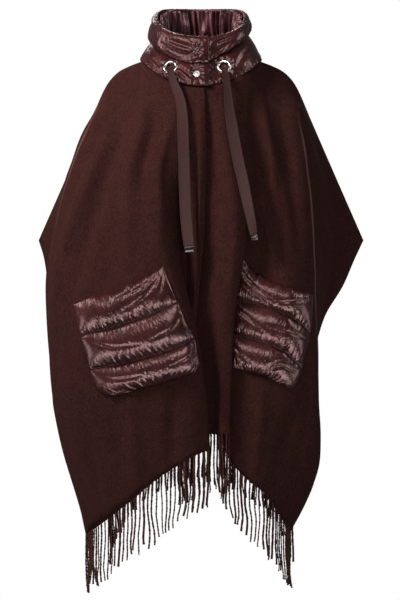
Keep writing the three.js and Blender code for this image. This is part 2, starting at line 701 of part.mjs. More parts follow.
// A body through rings of the same number of points, closed by a fan at each end.
function sweptBody(rings) {
  const sides = rings[0].length;
  const positions = rings.flat().flatMap((p) => [p.x, p.y, p.z]);
  const index = [];
  for (let k = 0; k < rings.length - 1; k += 1) {
    for (let s = 0; s < sides; s += 1) {
      const next = (s + 1) % sides;
      const a = k * sides + s;
      const b = k * sides + next;
      index.push(a, b, b + sides, a, b + sides, a + sides);
    }
  }
  const last = (rings.length - 1) * sides;
  for (let s = 1; s < sides - 1; s += 1) {
    index.push(0, s + 1, s, last, last + s, last + s + 1);
  }
  return closedBody(positions, index);
}

// The metal clip closes the ribbon's end, square to it.
function clip(path) {
  const { at, along, across, face } = ribbonFrame(path, 1);
  const half = [CLIP_WIDTH / 2, CLIP_THICKNESS / 2];
  const ring = (distance, grow) => [[-1, -1], [1, -1], [1, 1], [-1, 1]].map(([s, t]) => at.clone()
    .addScaledVector(along, distance)
    .addScaledVector(across, s * (half[0] + grow))
    .addScaledVector(face, t * (half[1] + grow)));
  const start = 0.3;
  return sweptBody([
    ring(start, -CLIP_BEVEL),
    ring(start + 1, 0),
    ring(start + CLIP_HEIGHT - 1, 0),
    ring(start + CLIP_HEIGHT, -CLIP_BEVEL),
  ]);
}
addPiece('ribbon_left', ribbon(ribbonLeftPath), ribbonCloth);
addPiece('ribbon_right', ribbon(ribbonRightPath), ribbonCloth);
addPiece('tip_left', clip(ribbonLeftPath), metal);
addPiece('tip_right', clip(ribbonRightPath), metal);

// Fringe: a narrow strip under the hem with the strands' roots fused into it.
let seed = 7;
function random() {
  seed = (seed * 16807) % 2147483647;
  return seed / 2147483647;
}

function manifoldOf(geometry) {
  const bare = geometry.clone();
  bare.deleteAttribute('normal');
  const merged = mergeVertices(bare, 1e-4);
  return new wasm.Manifold(new wasm.Mesh({
    numProp: 3,
    vertProperties: new Float32Array(merged.attributes.position.array),
    triVerts: new Uint32Array(merged.index.array),
  }));
}

function geometryOf(solid) {
  const mesh = solid.getMesh();
  const geometry = new THREE.BufferGeometry();
  geometry.setAttribute('position', new THREE.BufferAttribute(new Float32Array(mesh.vertProperties), 3));
  geometry.setIndex(new THREE.BufferAttribute(new Uint32Array(mesh.triVerts), 1));
  geometry.computeVertexNormals();
  return geometry;
}

function strand(root, radius, length) {
  const lean = [(random() - 0.5) * 7, (random() - 0.5) * 5];
  const levels = [[0, 1, 0], [1, 0.7, 1]];
  const turn = random() * Math.PI;
  const rings = levels.map(([share, thin, bend]) => [0, 1, 2].map((corner) => {
    const angle = turn + corner * Math.PI * 2 / 3;
    const r = share === 0 ? STRAND_ROOT : radius * thin;
    return new THREE.Vector3(
      root.x + lean[0] * bend + r * Math.cos(angle),
      root.y + lean[1] * bend + r * Math.sin(angle),
      root.z - length * share,
    );
  }));
  return sweptBody(rings);
}

function fringe(walls, count) {
  const last = walls.outer.length - 1;
  const down = (points, distance) => points.map((p) => new THREE.Vector3(p.x, p.y, p.z - distance));
  const outer = walls.outer[last];
  const inner = walls.inner[last];
  const strip = wall(
    [down(outer, FRINGE_GAP), down(outer, FRINGE_GAP + FRINGE_STRIP)],
    [down(inner, FRINGE_GAP), down(inner, FRINGE_GAP + FRINGE_STRIP)],
  );
  const middle = outer.map((p, k) => new THREE.Vector3().addVectors(p, inner[k]).multiplyScalar(0.5));
  const line = new THREE.CurvePath();
  for (let k = 0; k < middle.length - 1; k += 1) {
    line.add(new THREE.LineCurve3(middle[k], middle[k + 1]));
  }
  // No strand hangs where the hem doubles back on itself.
  const doublesBack = (share) => {
    const before = line.getTangentAt(Math.max(0, share - TURN_REACH));
    const after = line.getTangentAt(Math.min(1, share + TURN_REACH));
    return before.x * after.x + before.y * after.y < 0;
  };
  const solids = [manifoldOf(strip)];
  for (let k = 0; k < count; k += 1) {
    const share = mix(FRINGE_INSET, 1 - FRINGE_INSET, (k + 0.5) / count);
    if (doublesBack(share)) {
      continue;
    }
    const root = line.getPointAt(share);
    root.z -= FRINGE_GAP + FRINGE_STRIP * 0.5;
    solids.push(manifoldOf(strand(root, STRAND_RADIUS, STRAND_LENGTH + (random() - 0.5) * 14)));
  }
  return geometryOf(wasm.Manifold.union(solids));
}
addPiece('fringe_left', fringe(leftWalls, 58), wool);
addPiece('fringe_right', fringe(rightWalls, 54), wool);
addPiece('fringe_back', fringe(backWalls, 64), wool);

export default cape;
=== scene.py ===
# %% [markdown]
# # A quilted cape
# A brushed wool cape with a padded collar, two padded patch pockets, a ribbon drawstring and
# fringed hems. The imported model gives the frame. Here each soft piece is made again, finer, on
# the same fold lines, and every surface gets its cloth or metal.

import math

import bpy
import numpy as np
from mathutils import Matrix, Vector


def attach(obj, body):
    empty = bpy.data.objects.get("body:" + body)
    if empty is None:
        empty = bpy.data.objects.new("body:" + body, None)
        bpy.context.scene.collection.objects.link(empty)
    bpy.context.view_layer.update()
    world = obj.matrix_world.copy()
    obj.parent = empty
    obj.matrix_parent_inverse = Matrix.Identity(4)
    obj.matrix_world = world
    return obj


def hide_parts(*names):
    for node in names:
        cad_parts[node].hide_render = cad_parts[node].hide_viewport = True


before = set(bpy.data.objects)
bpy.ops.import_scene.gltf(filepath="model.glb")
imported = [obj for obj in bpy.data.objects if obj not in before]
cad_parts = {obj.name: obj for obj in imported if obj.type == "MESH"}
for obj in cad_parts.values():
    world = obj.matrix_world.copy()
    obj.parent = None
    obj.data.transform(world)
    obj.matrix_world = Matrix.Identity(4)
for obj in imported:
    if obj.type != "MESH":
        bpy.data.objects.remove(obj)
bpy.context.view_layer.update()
MM = 0.001


def placed(name, data):
    """A new object in the scene that holds the data."""
    made = bpy.data.objects.new(name, data)
    bpy.context.scene.collection.objects.link(made)
    return made


# %% [markdown]
# ## Camera
# A level view from 3.6 m with a long lens keeps the hem and the collar undistorted, as in a
# studio picture of a garment. It stands level with the middle of the cape.

# %% Camera
CAMERA_PLACE = (-0.002, -3.6, -0.44)
LENS = 116.8

camera = placed("camera", bpy.data.cameras.new("camera"))
camera.location = CAMERA_PLACE
camera.rotation_euler = (math.pi / 2, 0, 0)
camera.data.lens = LENS
bpy.context.scene.camera = camera
print("camera at", CAMERA_PLACE)

# %% [markdown]
# ## One way to write nodes
# Finishes and repeated pieces are both node trees. One small class adds any node, and another
# wraps a socket, so that a sum in a tree is written as a sum in Python.


# %% Node helpers
class Flow:
    """One value that flows through a node tree."""

    def __init__(self, tree, socket):
        self.tree = tree
        self.socket = socket

    def math(self, operation, first, second):
        return self.tree.add("ShaderNodeMath", {"operation": operation}, {0: first, 1: second})

    def __add__(self, other):
        return self.math("ADD", self, other)

    def __sub__(self, other):
        return self.math("SUBTRACT", self, other)

    def __rsub__(self, other):
        return self.math("SUBTRACT", other, self)

    def __mul__(self, other):
        return self.math("MULTIPLY", self, other)

    __radd__ = __add__
    __rmul__ = __mul__


class Tree:
    """A node tree with one method that adds any node to it."""

    def __init__(self, node_tree):
        self.node_tree = node_tree

    def feed(self, socket, value):
        if isinstance(value, Flow):
            self.node_tree.links.new(value.socket, socket)
        else:
            socket.default_value = value

    def add(self, kind, settings=None, sockets=None, output=0):
        node = self.node_tree.nodes.new(kind)
        for name, value in (settings or {}).items():
            setattr(node, name, value)
        for name, value in (sockets or {}).items():
            self.feed(node.inputs[name], value)
        return Flow(self, node.outputs[output])


print("node helpers ready")

# %% [markdown]
# ## Finishes
# Brushed wool is matt, with a nap that catches light at grazing angles, and two tones of fibre.
# Coated nylon is dark and glossy, and creases sharply. Noise in object coordinates stays at its
# real scale on each piece, so no piece needs unwrapping. Two attributes paint light and shade into
# the colour. One is a painted highlight on folded edges of wool. The other is a dark stitch line
# along stitched nylon, with painted shade in the seam grooves, at the collar's edges and in the
# lining's valleys.


# %% Finish helpers
def linear(red, green, blue):
    """A colour from its usual 0 to 255 values."""
    return tuple(((value / 255) ** 2.2) for value in (red, green, blue)) + (1.0,)


class Finish:
    """A material whose shader sockets take fixed values or flows."""

    def __init__(self, name, **fixed):
        self.material = bpy.data.materials.new(name)
        self.material.use_nodes = True
        self.tree = Tree(self.material.node_tree)
        self.shader = self.material.node_tree.nodes["Principled BSDF"]
        for socket, value in fixed.items():
            self.shader.inputs[socket.replace("_", " ")].default_value = value
        self.place = self.tree.add("ShaderNodeTexCoord", output=3)

    def noise(self, scale, detail=2.0, roughness=0.5, distortion=0.0, stretch=None):
        place = self.place
        if stretch:
            place = self.tree.add("ShaderNodeMapping", {}, {"Vector": place, "Scale": stretch})
        sockets = {"Vector": place, "Scale": scale, "Detail": detail}
        sockets.update({"Roughness": roughness, "Distortion": distortion})
        return self.tree.add("ShaderNodeTexNoise", {}, sockets)

    def spread(self, flow, low, high):
        """The flow stretched, so that low becomes 0 and high becomes 1."""
        sockets = {"Value": flow, "From Min": low, "From Max": high}
        return self.tree.add("ShaderNodeMapRange", {"clamp": True}, sockets)

    def blend(self, share, first, second):
        return self.tree.add(
            "ShaderNodeMix", {"data_type": "RGBA"}, {0: share, 6: first, 7: second}, output=2
        )

    def bump(self, height, distance, normal=None):
        sockets = {"Height": height, "Distance": distance}
        if normal:
            sockets["Normal"] = normal
        return self.tree.add("ShaderNodeBump", {}, sockets)

    def feed(self, **sockets):
        for socket, value in sockets.items():
            self.tree.feed(self.shader.inputs[socket.replace("_", " ")], value)
        return self.material


# %% Wool
# Colour of the painted highlight along folded edges of wool.
FOLD_HIGHLIGHT_COLOUR = linear(150, 112, 102)


def make_wool(name, dark, light, nap):
    finish = Finish(name, Sheen_Weight=0.05, Sheen_Roughness=0.45, Specular_IOR_Level=0.05)
    finish.shader.inputs["Sheen Tint"].default_value = linear(196, 140, 134)
    fibres = finish.noise(640, detail=4, roughness=0.7, distortion=0.5, stretch=(1, 1, 0.6))
    clouds = finish.noise(38, detail=3, roughness=0.6)
    tufts = finish.noise(210, detail=3, roughness=0.6, distortion=1.2, stretch=(1, 1, 0.6))
    mottle = finish.spread(fibres * 0.7 + tufts * 0.2 + clouds * 0.1, 0.37, 0.63)
    tufted = finish.bump(tufts, nap * MM)
    # The painted highlight along folded edges lightens the wool's colour.
    fold_highlight_share = finish.tree.add("ShaderNodeAttribute", {"attribute_name": "fold_highlight"}, output=2)
    return finish.feed(
        Base_Color=finish.blend(fold_highlight_share, finish.blend(mottle, dark, light), FOLD_HIGHLIGHT_COLOUR),
        Roughness=finish.spread(clouds, 0.2, 0.8) * 0.08 + 0.88,
        Normal=finish.bump(fibres, 0.35 * nap * MM, normal=tufted),
    )


wool = make_wool("brushed wool", linear(38, 21, 20), linear(74, 45, 42), 0.8)
yarn = make_wool("fringe yarn", linear(56, 34, 30), linear(100, 68, 62), 0.6)
print("wool and yarn")


# %% Nylon
# Painted shade for seams, collar edges and the lining's valleys. Through Metallic it also darkens
# the reflections there.
PAINTED_SEAM_SHADE = linear(20, 9, 9)


def make_nylon(name, dark, light, gloss, crease):
    finish = Finish(name, Specular_IOR_Level=0.6, Specular_Tint=linear(255, 206, 206))
    crinkle = finish.noise(75, detail=3, roughness=0.5, distortion=1.6)
    wrinkle = finish.noise(230, detail=2, roughness=0.5, distortion=0.8)
    tone = finish.noise(30, detail=2)
    creased = finish.bump(crinkle, crease * MM)
    seam = finish.tree.add("ShaderNodeAttribute", {"attribute_name": "seam"}, output=2)
    cloth = finish.blend(finish.spread(tone, 0.3, 0.7), dark, light)
    # Where the seam attribute is high, the colour turns to the painted shade and Metallic with that
    # dark colour darkens the reflections: a dark stitch line with painted shade in its groove.
    return finish.feed(
        Base_Color=finish.blend(seam, cloth, PAINTED_SEAM_SHADE),
        Metallic=seam,
        Roughness=finish.spread(crinkle, 0.3, 0.7) * 0.1 + seam * 0.25 + gloss,
        Normal=finish.bump(wrinkle, 0.1 * crease * MM, normal=creased),
    )


nylon = make_nylon("coated nylon", linear(48, 22, 21), linear(72, 37, 36), 0.21, 0.22)
lining_nylon = make_nylon("lining nylon", linear(66, 36, 39), linear(112, 72, 76), 0.2, 0.3)
print("nylon")

# %% [markdown]
# ### Ribbon and metal
# The ribbon has fine ribs across it, placed by its own UV map, which is in millimetres. Rings
# and clips are polished and the lower snap is satin, all with a little wear in the roughness.

# %% Ribbon and metal
RIB_PITCH = 0.9

ribbon_finish = Finish("woven ribbon", Specular_IOR_Level=0.25)
ribbon_uv = ribbon_finish.tree.add("ShaderNodeUVMap", {"uv_map": "weave"})
ribbon_ribs = ribbon_finish.tree.add(
    "ShaderNodeTexWave",
    {"wave_type": "BANDS", "bands_direction": "Y"},
    {"Vector": ribbon_uv, "Scale": math.pi / (10 * RIB_PITCH), "Distortion": 0.3, "Detail": 1.0},
    output=1,
)
ribbon_tone = ribbon_finish.noise(160, detail=3)
ribbon_share = ribbon_ribs * 0.5 + ribbon_tone * 0.5
woven = ribbon_finish.feed(
    Base_Color=ribbon_finish.blend(ribbon_share, linear(47, 26, 25), linear(73, 43, 41)),
    Roughness=ribbon_tone * 0.15 + 0.46,
    Normal=ribbon_finish.bump(ribbon_ribs, 0.12 * MM),
)


def make_polished(name, wear_scale, dark, light, worn, least):
    finish = Finish(name, Metallic=1.0)
    wear = finish.noise(wear_scale, detail=4, roughness=0.6)
    return finish.feed(
        Base_Color=finish.blend(wear, dark, light),
        Roughness=finish.spread(wear, 0.35, 0.8) * worn + least,
    )


polished = make_polished(
    "polished metal", 260, linear(205, 200, 200), linear(236, 232, 231), 0.16, 0.12)
satin_finish = Finish("satin metal", Metallic=1.0)
satin_wear = satin_finish.noise(400, detail=3)
satin = satin_finish.feed(
    Base_Color=satin_finish.blend(satin_wear, linear(238, 234, 232), linear(250, 248, 246)),
    Roughness=satin_wear * 0.1 + 0.36,
)
dark_polished = make_polished(
    "dark polished metal", 300, linear(74, 66, 66), linear(112, 102, 101), 0.14, 0.14)
print("ribbon and metal")

# %% [markdown]
# ## Curves and surfaces
# The solids are lofted through fold lines with a smooth curve. The same curve, worked out here
# for whole tables at once, gives the same cloth at a finer step.


# %% Curves
def curve_through(points, shares):
    """Places on the smooth curve through points, whose first axis runs along it."""
    points = np.asarray(points, float)
    count = len(points)
    place = np.clip(np.asarray(shares, float), 0, 1) * (count - 1)
    index = np.minimum(place.astype(int), count - 2)
    share = (place - index).reshape((-1,) + (1,) * (points.ndim - 1))
    before = 2 * points[:1] - points[1:2]
    after = 2 * points[-1:] - points[-2:-1]
    longer = np.concatenate([before, points, after])
    p0, p1, p2, p3 = (longer[index + step] for step in range(4))

    def reach(a, b):
        return np.sqrt(np.linalg.norm(b - a, axis=-1, keepdims=True)) + 1e-9

    d0, d1, d2 = reach(p0, p1), reach(p1, p2), reach(p2, p3)
    t1 = ((p1 - p0) / d0 - (p2 - p0) / (d0 + d1) + (p2 - p1) / d1) * d1
    t2 = ((p2 - p1) / d1 - (p3 - p1) / (d1 + d2) + (p3 - p2) / d2) * d1
    c2 = -3 * p1 + 3 * p2 - 2 * t1 - t2
    c3 = 2 * p1 - 2 * p2 + t1 + t2
    return p1 + t1 * share + c2 * share**2 + c3 * share**3


def mix(a, b, t):
    return a + (b - a) * t


def smooth(t):
    t = np.clip(t, 0, 1)
    return t * t * (3 - 2 * t)


def value_at(table, place):
    """A value that changes smoothly through the rows of a table of (place, value)."""
    starts = [row[0] for row in table]
    index = np.clip(np.searchsorted(starts, place) - 1, 0, len(table) - 2)
    rows = np.asarray(table, float)
    low, high = rows[index], rows[index + 1]
    share = (place - low[..., 0]) / (high[..., 0] - low[..., 0])
    return mix(low[..., 1], high[..., 1], smooth(share))


def unit(vectors):
    return vectors / np.maximum(np.linalg.norm(vectors, axis=-1, keepdims=True), 1e-12)


def normals_of(grid, guide):
    """Normals of a grid of points, on the side that the guide points to at its middle."""
    normals = unit(np.cross(np.gradient(grid, axis=1), np.gradient(grid, axis=0)))
    middle = normals[len(grid) // 2, grid.shape[1] // 2]
    return normals if middle @ np.asarray(guide) > 0 else -normals


def bell(distance, width):
    """1 at no distance, falling smoothly to almost 0 at twice the width."""
    return np.exp(-((distance / width) ** 2))


print("curves ready")


# %% Meshes
def volume_of(points, faces):
    corners = points[np.asarray(faces)]
    first = np.cross(corners[:, 1], corners[:, 2])
    second = np.cross(corners[:, 2], corners[:, 3])
    return np.einsum("ij,ij->", corners[:, 0], first + second)


def piece(name, points, faces, material, uv=None):
    """A smooth closed mesh, turned right side out."""
    points = np.asarray(points, float).reshape(-1, 3)
    faces = np.asarray(faces)
    if volume_of(points, faces) < 0:
        faces = faces[:, ::-1]
    mesh = bpy.data.meshes.new(name)
    mesh.from_pydata(points.tolist(), [], faces.tolist())
    if uv is not None:
        layer = mesh.uv_layers.new(name="weave")
        layer.data.foreach_set("uv", uv[faces.reshape(-1)].reshape(-1))
    mesh.polygons.foreach_set("use_smooth", [True] * len(mesh.polygons))
    mesh.materials.append(material)
    made = placed(name, mesh)
    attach(made, "root")
    print(name, len(mesh.vertices), "points")
    return made


def wall_faces(rows, columns):
    """Faces of a wall between two grids of the same size, closed along its four edges."""
    at = np.arange(2 * rows * columns).reshape(2, rows, columns)
    outer, inner = at
    quads = []

    def strip(a, b, c, d):
        quads.append(np.stack([a, b, c, d], -1).reshape(-1, 4))

    strip(outer[:-1, :-1], outer[:-1, 1:], outer[1:, 1:], outer[1:, :-1])
    strip(inner[:-1, :-1], inner[1:, :-1], inner[1:, 1:], inner[:-1, 1:])
    strip(outer[:-1, 0], outer[1:, 0], inner[1:, 0], inner[:-1, 0])
    strip(inner[:-1, -1], inner[1:, -1], outer[1:, -1], outer[:-1, -1])
    strip(inner[0, :-1], inner[0, 1:], outer[0, 1:], outer[0, :-1])
    strip(outer[-1, :-1], outer[-1, 1:], inner[-1, 1:], inner[-1, :-1])
    return np.concatenate(quads)


def wall(name, outer, inner, material):
    rows, columns = outer.shape[:2]
    return piece(name, np.stack([outer, inner]), wall_faces(rows, columns), material)


def mark(made, attribute, face, back=None):
    """Values that a finish reads, on the outer face of a wall and on its back."""
    back = np.zeros_like(face) if back is None else back
    values = np.concatenate([face.reshape(-1), back.reshape(-1)])
    made.data.attributes.new(attribute, "FLOAT", "POINT").data.foreach_set("value", values)


def swept(name, rings, material, uv=None):
    """A body through rings of points, closed at each end by a strip of faces."""
    count, sides = rings.shape[:2]
    at = np.arange(count * sides).reshape(count, sides)
    turned = np.roll(at, -1, axis=1)
    quads = np.stack([at[:-1], turned[:-1], turned[1:], at[1:]], -1).reshape(-1, 4)
    half = sides // 2
    caps = [
        (ring[k], ring[k + 1], ring[sides - 2 - k], ring[sides - 1 - k])
        for ring in (at[0][::-1], at[-1])
        for k in range(half - 1)
    ]
    return piece(name, rings, np.concatenate([quads, np.array(caps)]), material, uv)


print("mesh helpers ready")

# %% [markdown]
# ## Ribbon drawstring
# A flat ribbon comes out of each eyelet and hangs on the front. It is swept along its middle
# line with a thin section whose edges are a little thicker, as a woven edge is. The clip at its
# end is a folded metal cap.

# %% Ribbon paths
# Each row is a point of the middle line, the width there and the turn about the line.
ribbon_left_path = [
    ((-55, -85.8, -19), 13, 0),
    ((-55.5, -91.2, -23), 12.5, 0),
    ((-54.5, -97, -31), 12.5, 6),
    ((-50.5, -103, -46), 14, 14),
    ((-45, -107, -60), 16, 18),
    ((-40, -112, -73), 17, 18),
    ((-35.5, -119, -92), 18.5, 14),
    ((-33, -129, -120), 20, 8),
    ((-32, -138, -150), 20, 2),
    ((-31, -145, -180), 20, 0),
    ((-30, -149, -215), 20, 0),
    ((-29, -152, -250), 20, 0),
    ((-27.5, -156, -285), 20, 4),
    ((-24.5, -160, -318), 20, 8),
    ((-21.5, -162, -345), 18, 8),
]
ribbon_right_path = [
    ((41.5, -77, -18), 13, 0),
    ((42, -82, -22), 12.5, 0),
    ((43.5, -88.6, -31), 12, -8),
    ((46, -103, -50), 12.5, -14),
    ((48.5, -111, -75), 15, -16),
    ((51, -118, -103), 18, -10),
    ((55, -125, -128), 20, -4),
    ((60, -133, -160), 20, 0),
    ((66.5, -141, -195), 20, 4),
    ((72, -146, -219), 20, 10),
    ((77, -150, -243), 20, 18),
    ((83.5, -154, -275), 20, 30),
    ((90, -156, -307), 19, 40),
    ((93, -157, -325), 17, 44),
]
RIBBON_STEPS = 14
RIBBON_HALF_THICKNESS = 0.8
# Half of the ribbon's section, from its edge to its middle: place across, share of thickness.
ribbon_half = [(-1, 0.5), (-0.97, 0.95), (-0.9, 1), (-0.84, 0.7), (-0.4, 0.62), (0, 0.6)]


# %% Ribbon body
def ribbon_frames(path, shares):
    """Middle points, directions across and out of the face, and widths along a ribbon."""
    middle = [row[0] for row in path]
    at = curve_through(middle, shares)
    step = 1e-3
    along = unit(
        curve_through(middle, np.clip(shares + step, 0, 1))
        - curve_through(middle, np.clip(shares - step, 0, 1))
    )
    knots = np.linspace(0, 1, len(path))
    width = np.interp(shares, knots, [row[1] for row in path])[:, None]
    turn = np.radians(np.interp(shares, knots, [row[2] for row in path]))[:, None]
    sideways = np.array([1.0, 0.0, 0.0])
    flat = unit(sideways - along * along[:, :1])
    across = flat * np.cos(turn) + np.cross(along, flat) * np.sin(turn)
    return at, across, unit(np.cross(across, along)), along, width


def ribbon(name, path):
    half = ribbon_half + [(-s, t) for s, t in reversed(ribbon_half[:-1])]
    section = np.array(half + [(s, -t) for s, t in reversed(half)])
    shares = np.linspace(0, 1, (len(path) - 1) * RIBBON_STEPS + 1)
    at, across, face, along, width = ribbon_frames(path, shares)
    rings = (
        at[:, None]
        + across[:, None] * section[:, 0, None] * width[:, None] / 2
        + face[:, None] * section[:, 1, None] * RIBBON_HALF_THICKNESS
    )
    steps = np.linalg.norm(np.diff(at, axis=0), axis=1)
    walked = np.concatenate([[0], np.cumsum(steps)])
    uv = np.stack(np.broadcast_arrays(section[:, 0] * 10, walked[:, None]), -1).reshape(-1, 2)
    made = swept(name, rings * MM, woven, uv)
    return made, at * MM, walked[-1] * MM


drawstring_left, left_line, left_length = ribbon("drawstring_left", ribbon_left_path)
drawstring_right, right_line, right_length = ribbon("drawstring_right", ribbon_right_path)
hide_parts("ribbon_left")
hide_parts("ribbon_right")
print("ribbon lengths", round(left_length, 4), round(right_length, 4))

# %% Clips
CLIP_HALF = (8.5, 2.2)
CLIP_SIDES = 32
CLIP_SQUARENESS = 0.28
# Rings along the clip: distance, and how much the section is drawn in.
clip_rings = [
    (0.3, 1.1), (0.5, 0.6), (1.1, 0.2), (1.9, 0.0), (2.4, 0.5), (2.9, 0.6),
    (7.4, 0.6), (7.9, 0.5), (8.4, 0.0), (9.4, 0.2), (9.9, 0.6), (10.3, 1.1),
]


def clip(name, path):
    frames = ribbon_frames(path, np.array([0.5, 1.0]))
    at, across, face, along, width = (row[-1] for row in frames)
    turns = np.radians((np.arange(CLIP_SIDES) + 0.5) * 360 / CLIP_SIDES)
    rounded = np.stack([np.cos(turns), np.sin(turns)], -1)
    square = np.sign(rounded) * np.abs(rounded) ** CLIP_SQUARENESS
    rings = np.array([
        at + along * distance
        + across * (square[:, :1] * (CLIP_HALF[0] - drawn))
        + face * (square[:, 1:] * (CLIP_HALF[1] - drawn * 0.7))
        for distance, drawn in clip_rings
    ])
    return swept(name, rings * MM, dark_polished)


clip_left = clip("clip_left", ribbon_left_path)
clip_right = clip("clip_right", ribbon_right_path)
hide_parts("tip_left")
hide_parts("tip_right")
for cord_piece, line, length, end in (
    (drawstring_left, left_line, left_length, clip_left),
    (drawstring_right, right_line, right_length, clip_right),
):
    line[::4].tolist() + [line[-1].tolist()]

# %% [markdown]
# ## Neckline, shoulder and fold lines
# A panel is a set of fold lines that run down the cloth, from the neckline or the shoulder
# seam to the hem. They are the lines that the solids are lofted through.

# %% Neckline and shoulder
CLOTH = 2.4
SHOULDER_GAP = 0.6
NECK_HALF_WIDTH = 110
NECK_FRONT = 98
NECK_BACK = 84
NECK_FRONT_DROP = 56
NECK_BACK_RISE = 12
NECK_SLOPE = 1.7
FULL_TURN = 360

shoulder_knots = [
    (NECK_HALF_WIDTH, -7, 0), (132, -4, -8), (152, -1, -18), (168, 2, -33),
    (180, 4, -52), (204, 8, -107), (248, 14, -207), (302, 20, -329),
]
shoulder_fine = curve_through(shoulder_knots, np.linspace(0, 1, 401))
shoulder_walk = np.concatenate([
    [0], np.cumsum(np.linalg.norm(np.diff(shoulder_fine, axis=0), axis=1))
])
shoulder_walk = shoulder_walk / shoulder_walk[-1]


def neckline(degrees, out=0.0):
    degrees = np.asarray(degrees, float)
    angle = np.radians(degrees)
    forward = np.cos(angle)
    reach = (NECK_BACK + NECK_FRONT) / 2 + out
    height = np.where(
        forward > 0,
        -NECK_FRONT_DROP * np.maximum(forward, 0) ** NECK_SLOPE,
        NECK_BACK_RISE * np.maximum(-forward, 0) ** NECK_SLOPE,
    )
    middle = (NECK_BACK - NECK_FRONT) / 2
    return np.stack([(NECK_HALF_WIDTH + out) * np.sin(angle), middle - reach * forward, height], -1)


def shoulder(side, share):
    point = np.stack([np.interp(share, shoulder_walk, shoulder_fine[:, k]) for k in range(3)], -1)
    return point * np.array([side, 1, 1])


print("shoulder line", len(shoulder_fine), "points")

# %% Fold lines
# A fold line's top: an angle on the neckline with a lap outwards, or a share of the shoulder.
front_left_folds = [
    {"neck": 3, "lap": 3, "path": [
        (8, -122, -128), (10, -136, -200), (8, -144, -272), (4, -147, -352),
        (-5, -141, -440), (-13, -131, -529), (-15, -127, -619), (-15, -123, -691)]},
    {"neck": -2, "lap": 3, "path": [
        (-3, -126, -128), (-2, -142, -200), (-3, -150, -272), (-4, -155, -352),
        (-13, -145, -440), (-24, -131, -529), (-27, -127, -619), (-27, -123, -695)]},
    {"neck": -9, "lap": 2, "path": [
        (-21, -124, -128), (-30, -131, -200), (-30, -122, -270), (-30, -116, -351),
        (-28, -120, -440), (-39, -127, -529), (-41, -126, -619), (-41, -124, -699)]},
    {"neck": -18, "lap": 1, "path": [
        (-41, -122, -128), (-62, -136, -200), (-59, -150, -272), (-48, -158, -352),
        (-22, -162, -440), (-2, -160, -529), (10, -153, -617), (16, -145, -705)]},
    {"neck": -31, "lap": 0, "path": [
        (-64, -118, -127), (-84, -138, -200), (-81, -158, -272), (-72, -170, -352),
        (-48, -176, -440), (-26, -175, -528), (-14, -169, -617), (-7, -158, -714)]},
    {"neck": -58, "lap": 0, "path": [
        (-91, -110, -126), (-116, -132, -200), (-121, -150, -272), (-115, -162, -352),
        (-97, -170, -440), (-81, -171, -528), (-72, -166, -617), (-67, -154, -750)]},
    {"neck": -90, "shoulder": 0, "lap": 0, "path": [
        (-119, -98, -125), (-147, -116, -199), (-162, -128, -271), (-167, -135, -351),
        (-160, -150, -440), (-151, -154, -529), (-144, -151, -618), (-133, -138, -804)]},
    {"shoulder": 0.13, "path": [
        (-150, -78, -124), (-175, -98, -197), (-193, -115, -270), (-211, -126, -351),
        (-225, -132, -440), (-221, -133, -529), (-218, -130, -619), (-181, -110, -842)]},
    {"shoulder": 0.27, "path": [
        (-201, -46, -115), (-228, -56, -174), (-254, -64, -251), (-276, -70, -357),
        (-279, -72, -484), (-272, -70, -594), (-256, -68, -685), (-199, -78, -857)]},
    {"shoulder": 1, "path": [
        (-292, 14, -362), (-283, 8, -422), (-275, 2, -487), (-267, -4, -560),
        (-256, -12, -634), (-242, -24, -716), (-226, -38, -797), (-211, -52, -867)]},
]
front_right_folds = [
    {"neck": -7, "lap": -1, "path": [
        (-16, -106, -126), (-17, -112, -199), (-19, -110, -271), (-22, -106, -351),
        (-25, -106, -440), (-27, -106, -530), (-27, -105, -620), (-25, -104, -676)]},
    {"neck": 4, "lap": -1, "path": [
        (9, -113, -127), (12, -127, -199), (12, -134, -271), (12, -137, -351),
        (14, -136, -440), (18, -133, -529), (23, -128, -619), (23, -124, -680)]},
    {"neck": 15, "lap": -0.5, "path": [
        (30, -117, -127), (37, -136, -200), (41, -147, -272), (39, -153, -352),
        (36, -156, -440), (36, -155, -529), (35, -151, -618), (35, -147, -679)]},
    {"neck": 27, "lap": 0, "path": [
        (52, -114, -127), (64, -131, -200), (75, -143, -272), (74, -150, -352),
        (61, -154, -440), (56, -154, -529), (52, -151, -618), (51, -147, -679)]},
    {"neck": 42, "lap": 0, "path": [
        (75, -107, -126), (84, -118, -199), (84, -122, -270), (66, -121, -351),
        (46, -121, -440), (38, -122, -529), (34, -121, -619), (36, -117, -694)]},
    {"neck": 64, "lap": 0, "path": [
        (99, -96, -125), (111, -106, -198), (111, -110, -270), (104, -112, -351),
        (91, -126, -440), (82, -138, -529), (76, -138, -618), (69, -128, -748)]},
    {"neck": 90, "shoulder": 0, "lap": 0, "path": [
        (128, -82, -124), (142, -102, -198), (154, -122, -270), (159, -132, -351),
        (155, -140, -440), (147, -144, -529), (140, -142, -618), (116, -128, -788)]},
    {"shoulder": 0.27, "path": [
        (177, -50, -97), (187, -76, -165), (198, -96, -262), (203, -106, -356),
        (206, -108, -458), (208, -104, -584), (209, -90, -742), (152, -84, -845)]},
    {"shoulder": 0.6, "path": [
        (229, -10, -210), (239, -24, -275), (236, -40, -349), (216, -56, -440),
        (208, -62, -531), (206, -66, -631), (208, -70, -762), (158, -74, -853)]},
    {"shoulder": 1, "path": [
        (288, 18, -358), (264, 14, -412), (228, 8, -474), (210, -2, -533),
        (204, -16, -615), (204, -32, -697), (203, -48, -781), (162, -62, -862)]},
]
back_middle = {"neck": 180, "lap": 0, "path": [
    (0, 98, -60), (0, 114, -140), (0, 121, -230), (0, 122, -320),
    (0, 122, -410), (0, 121, -500), (0, 121, -600), (0, 122, -680)]}
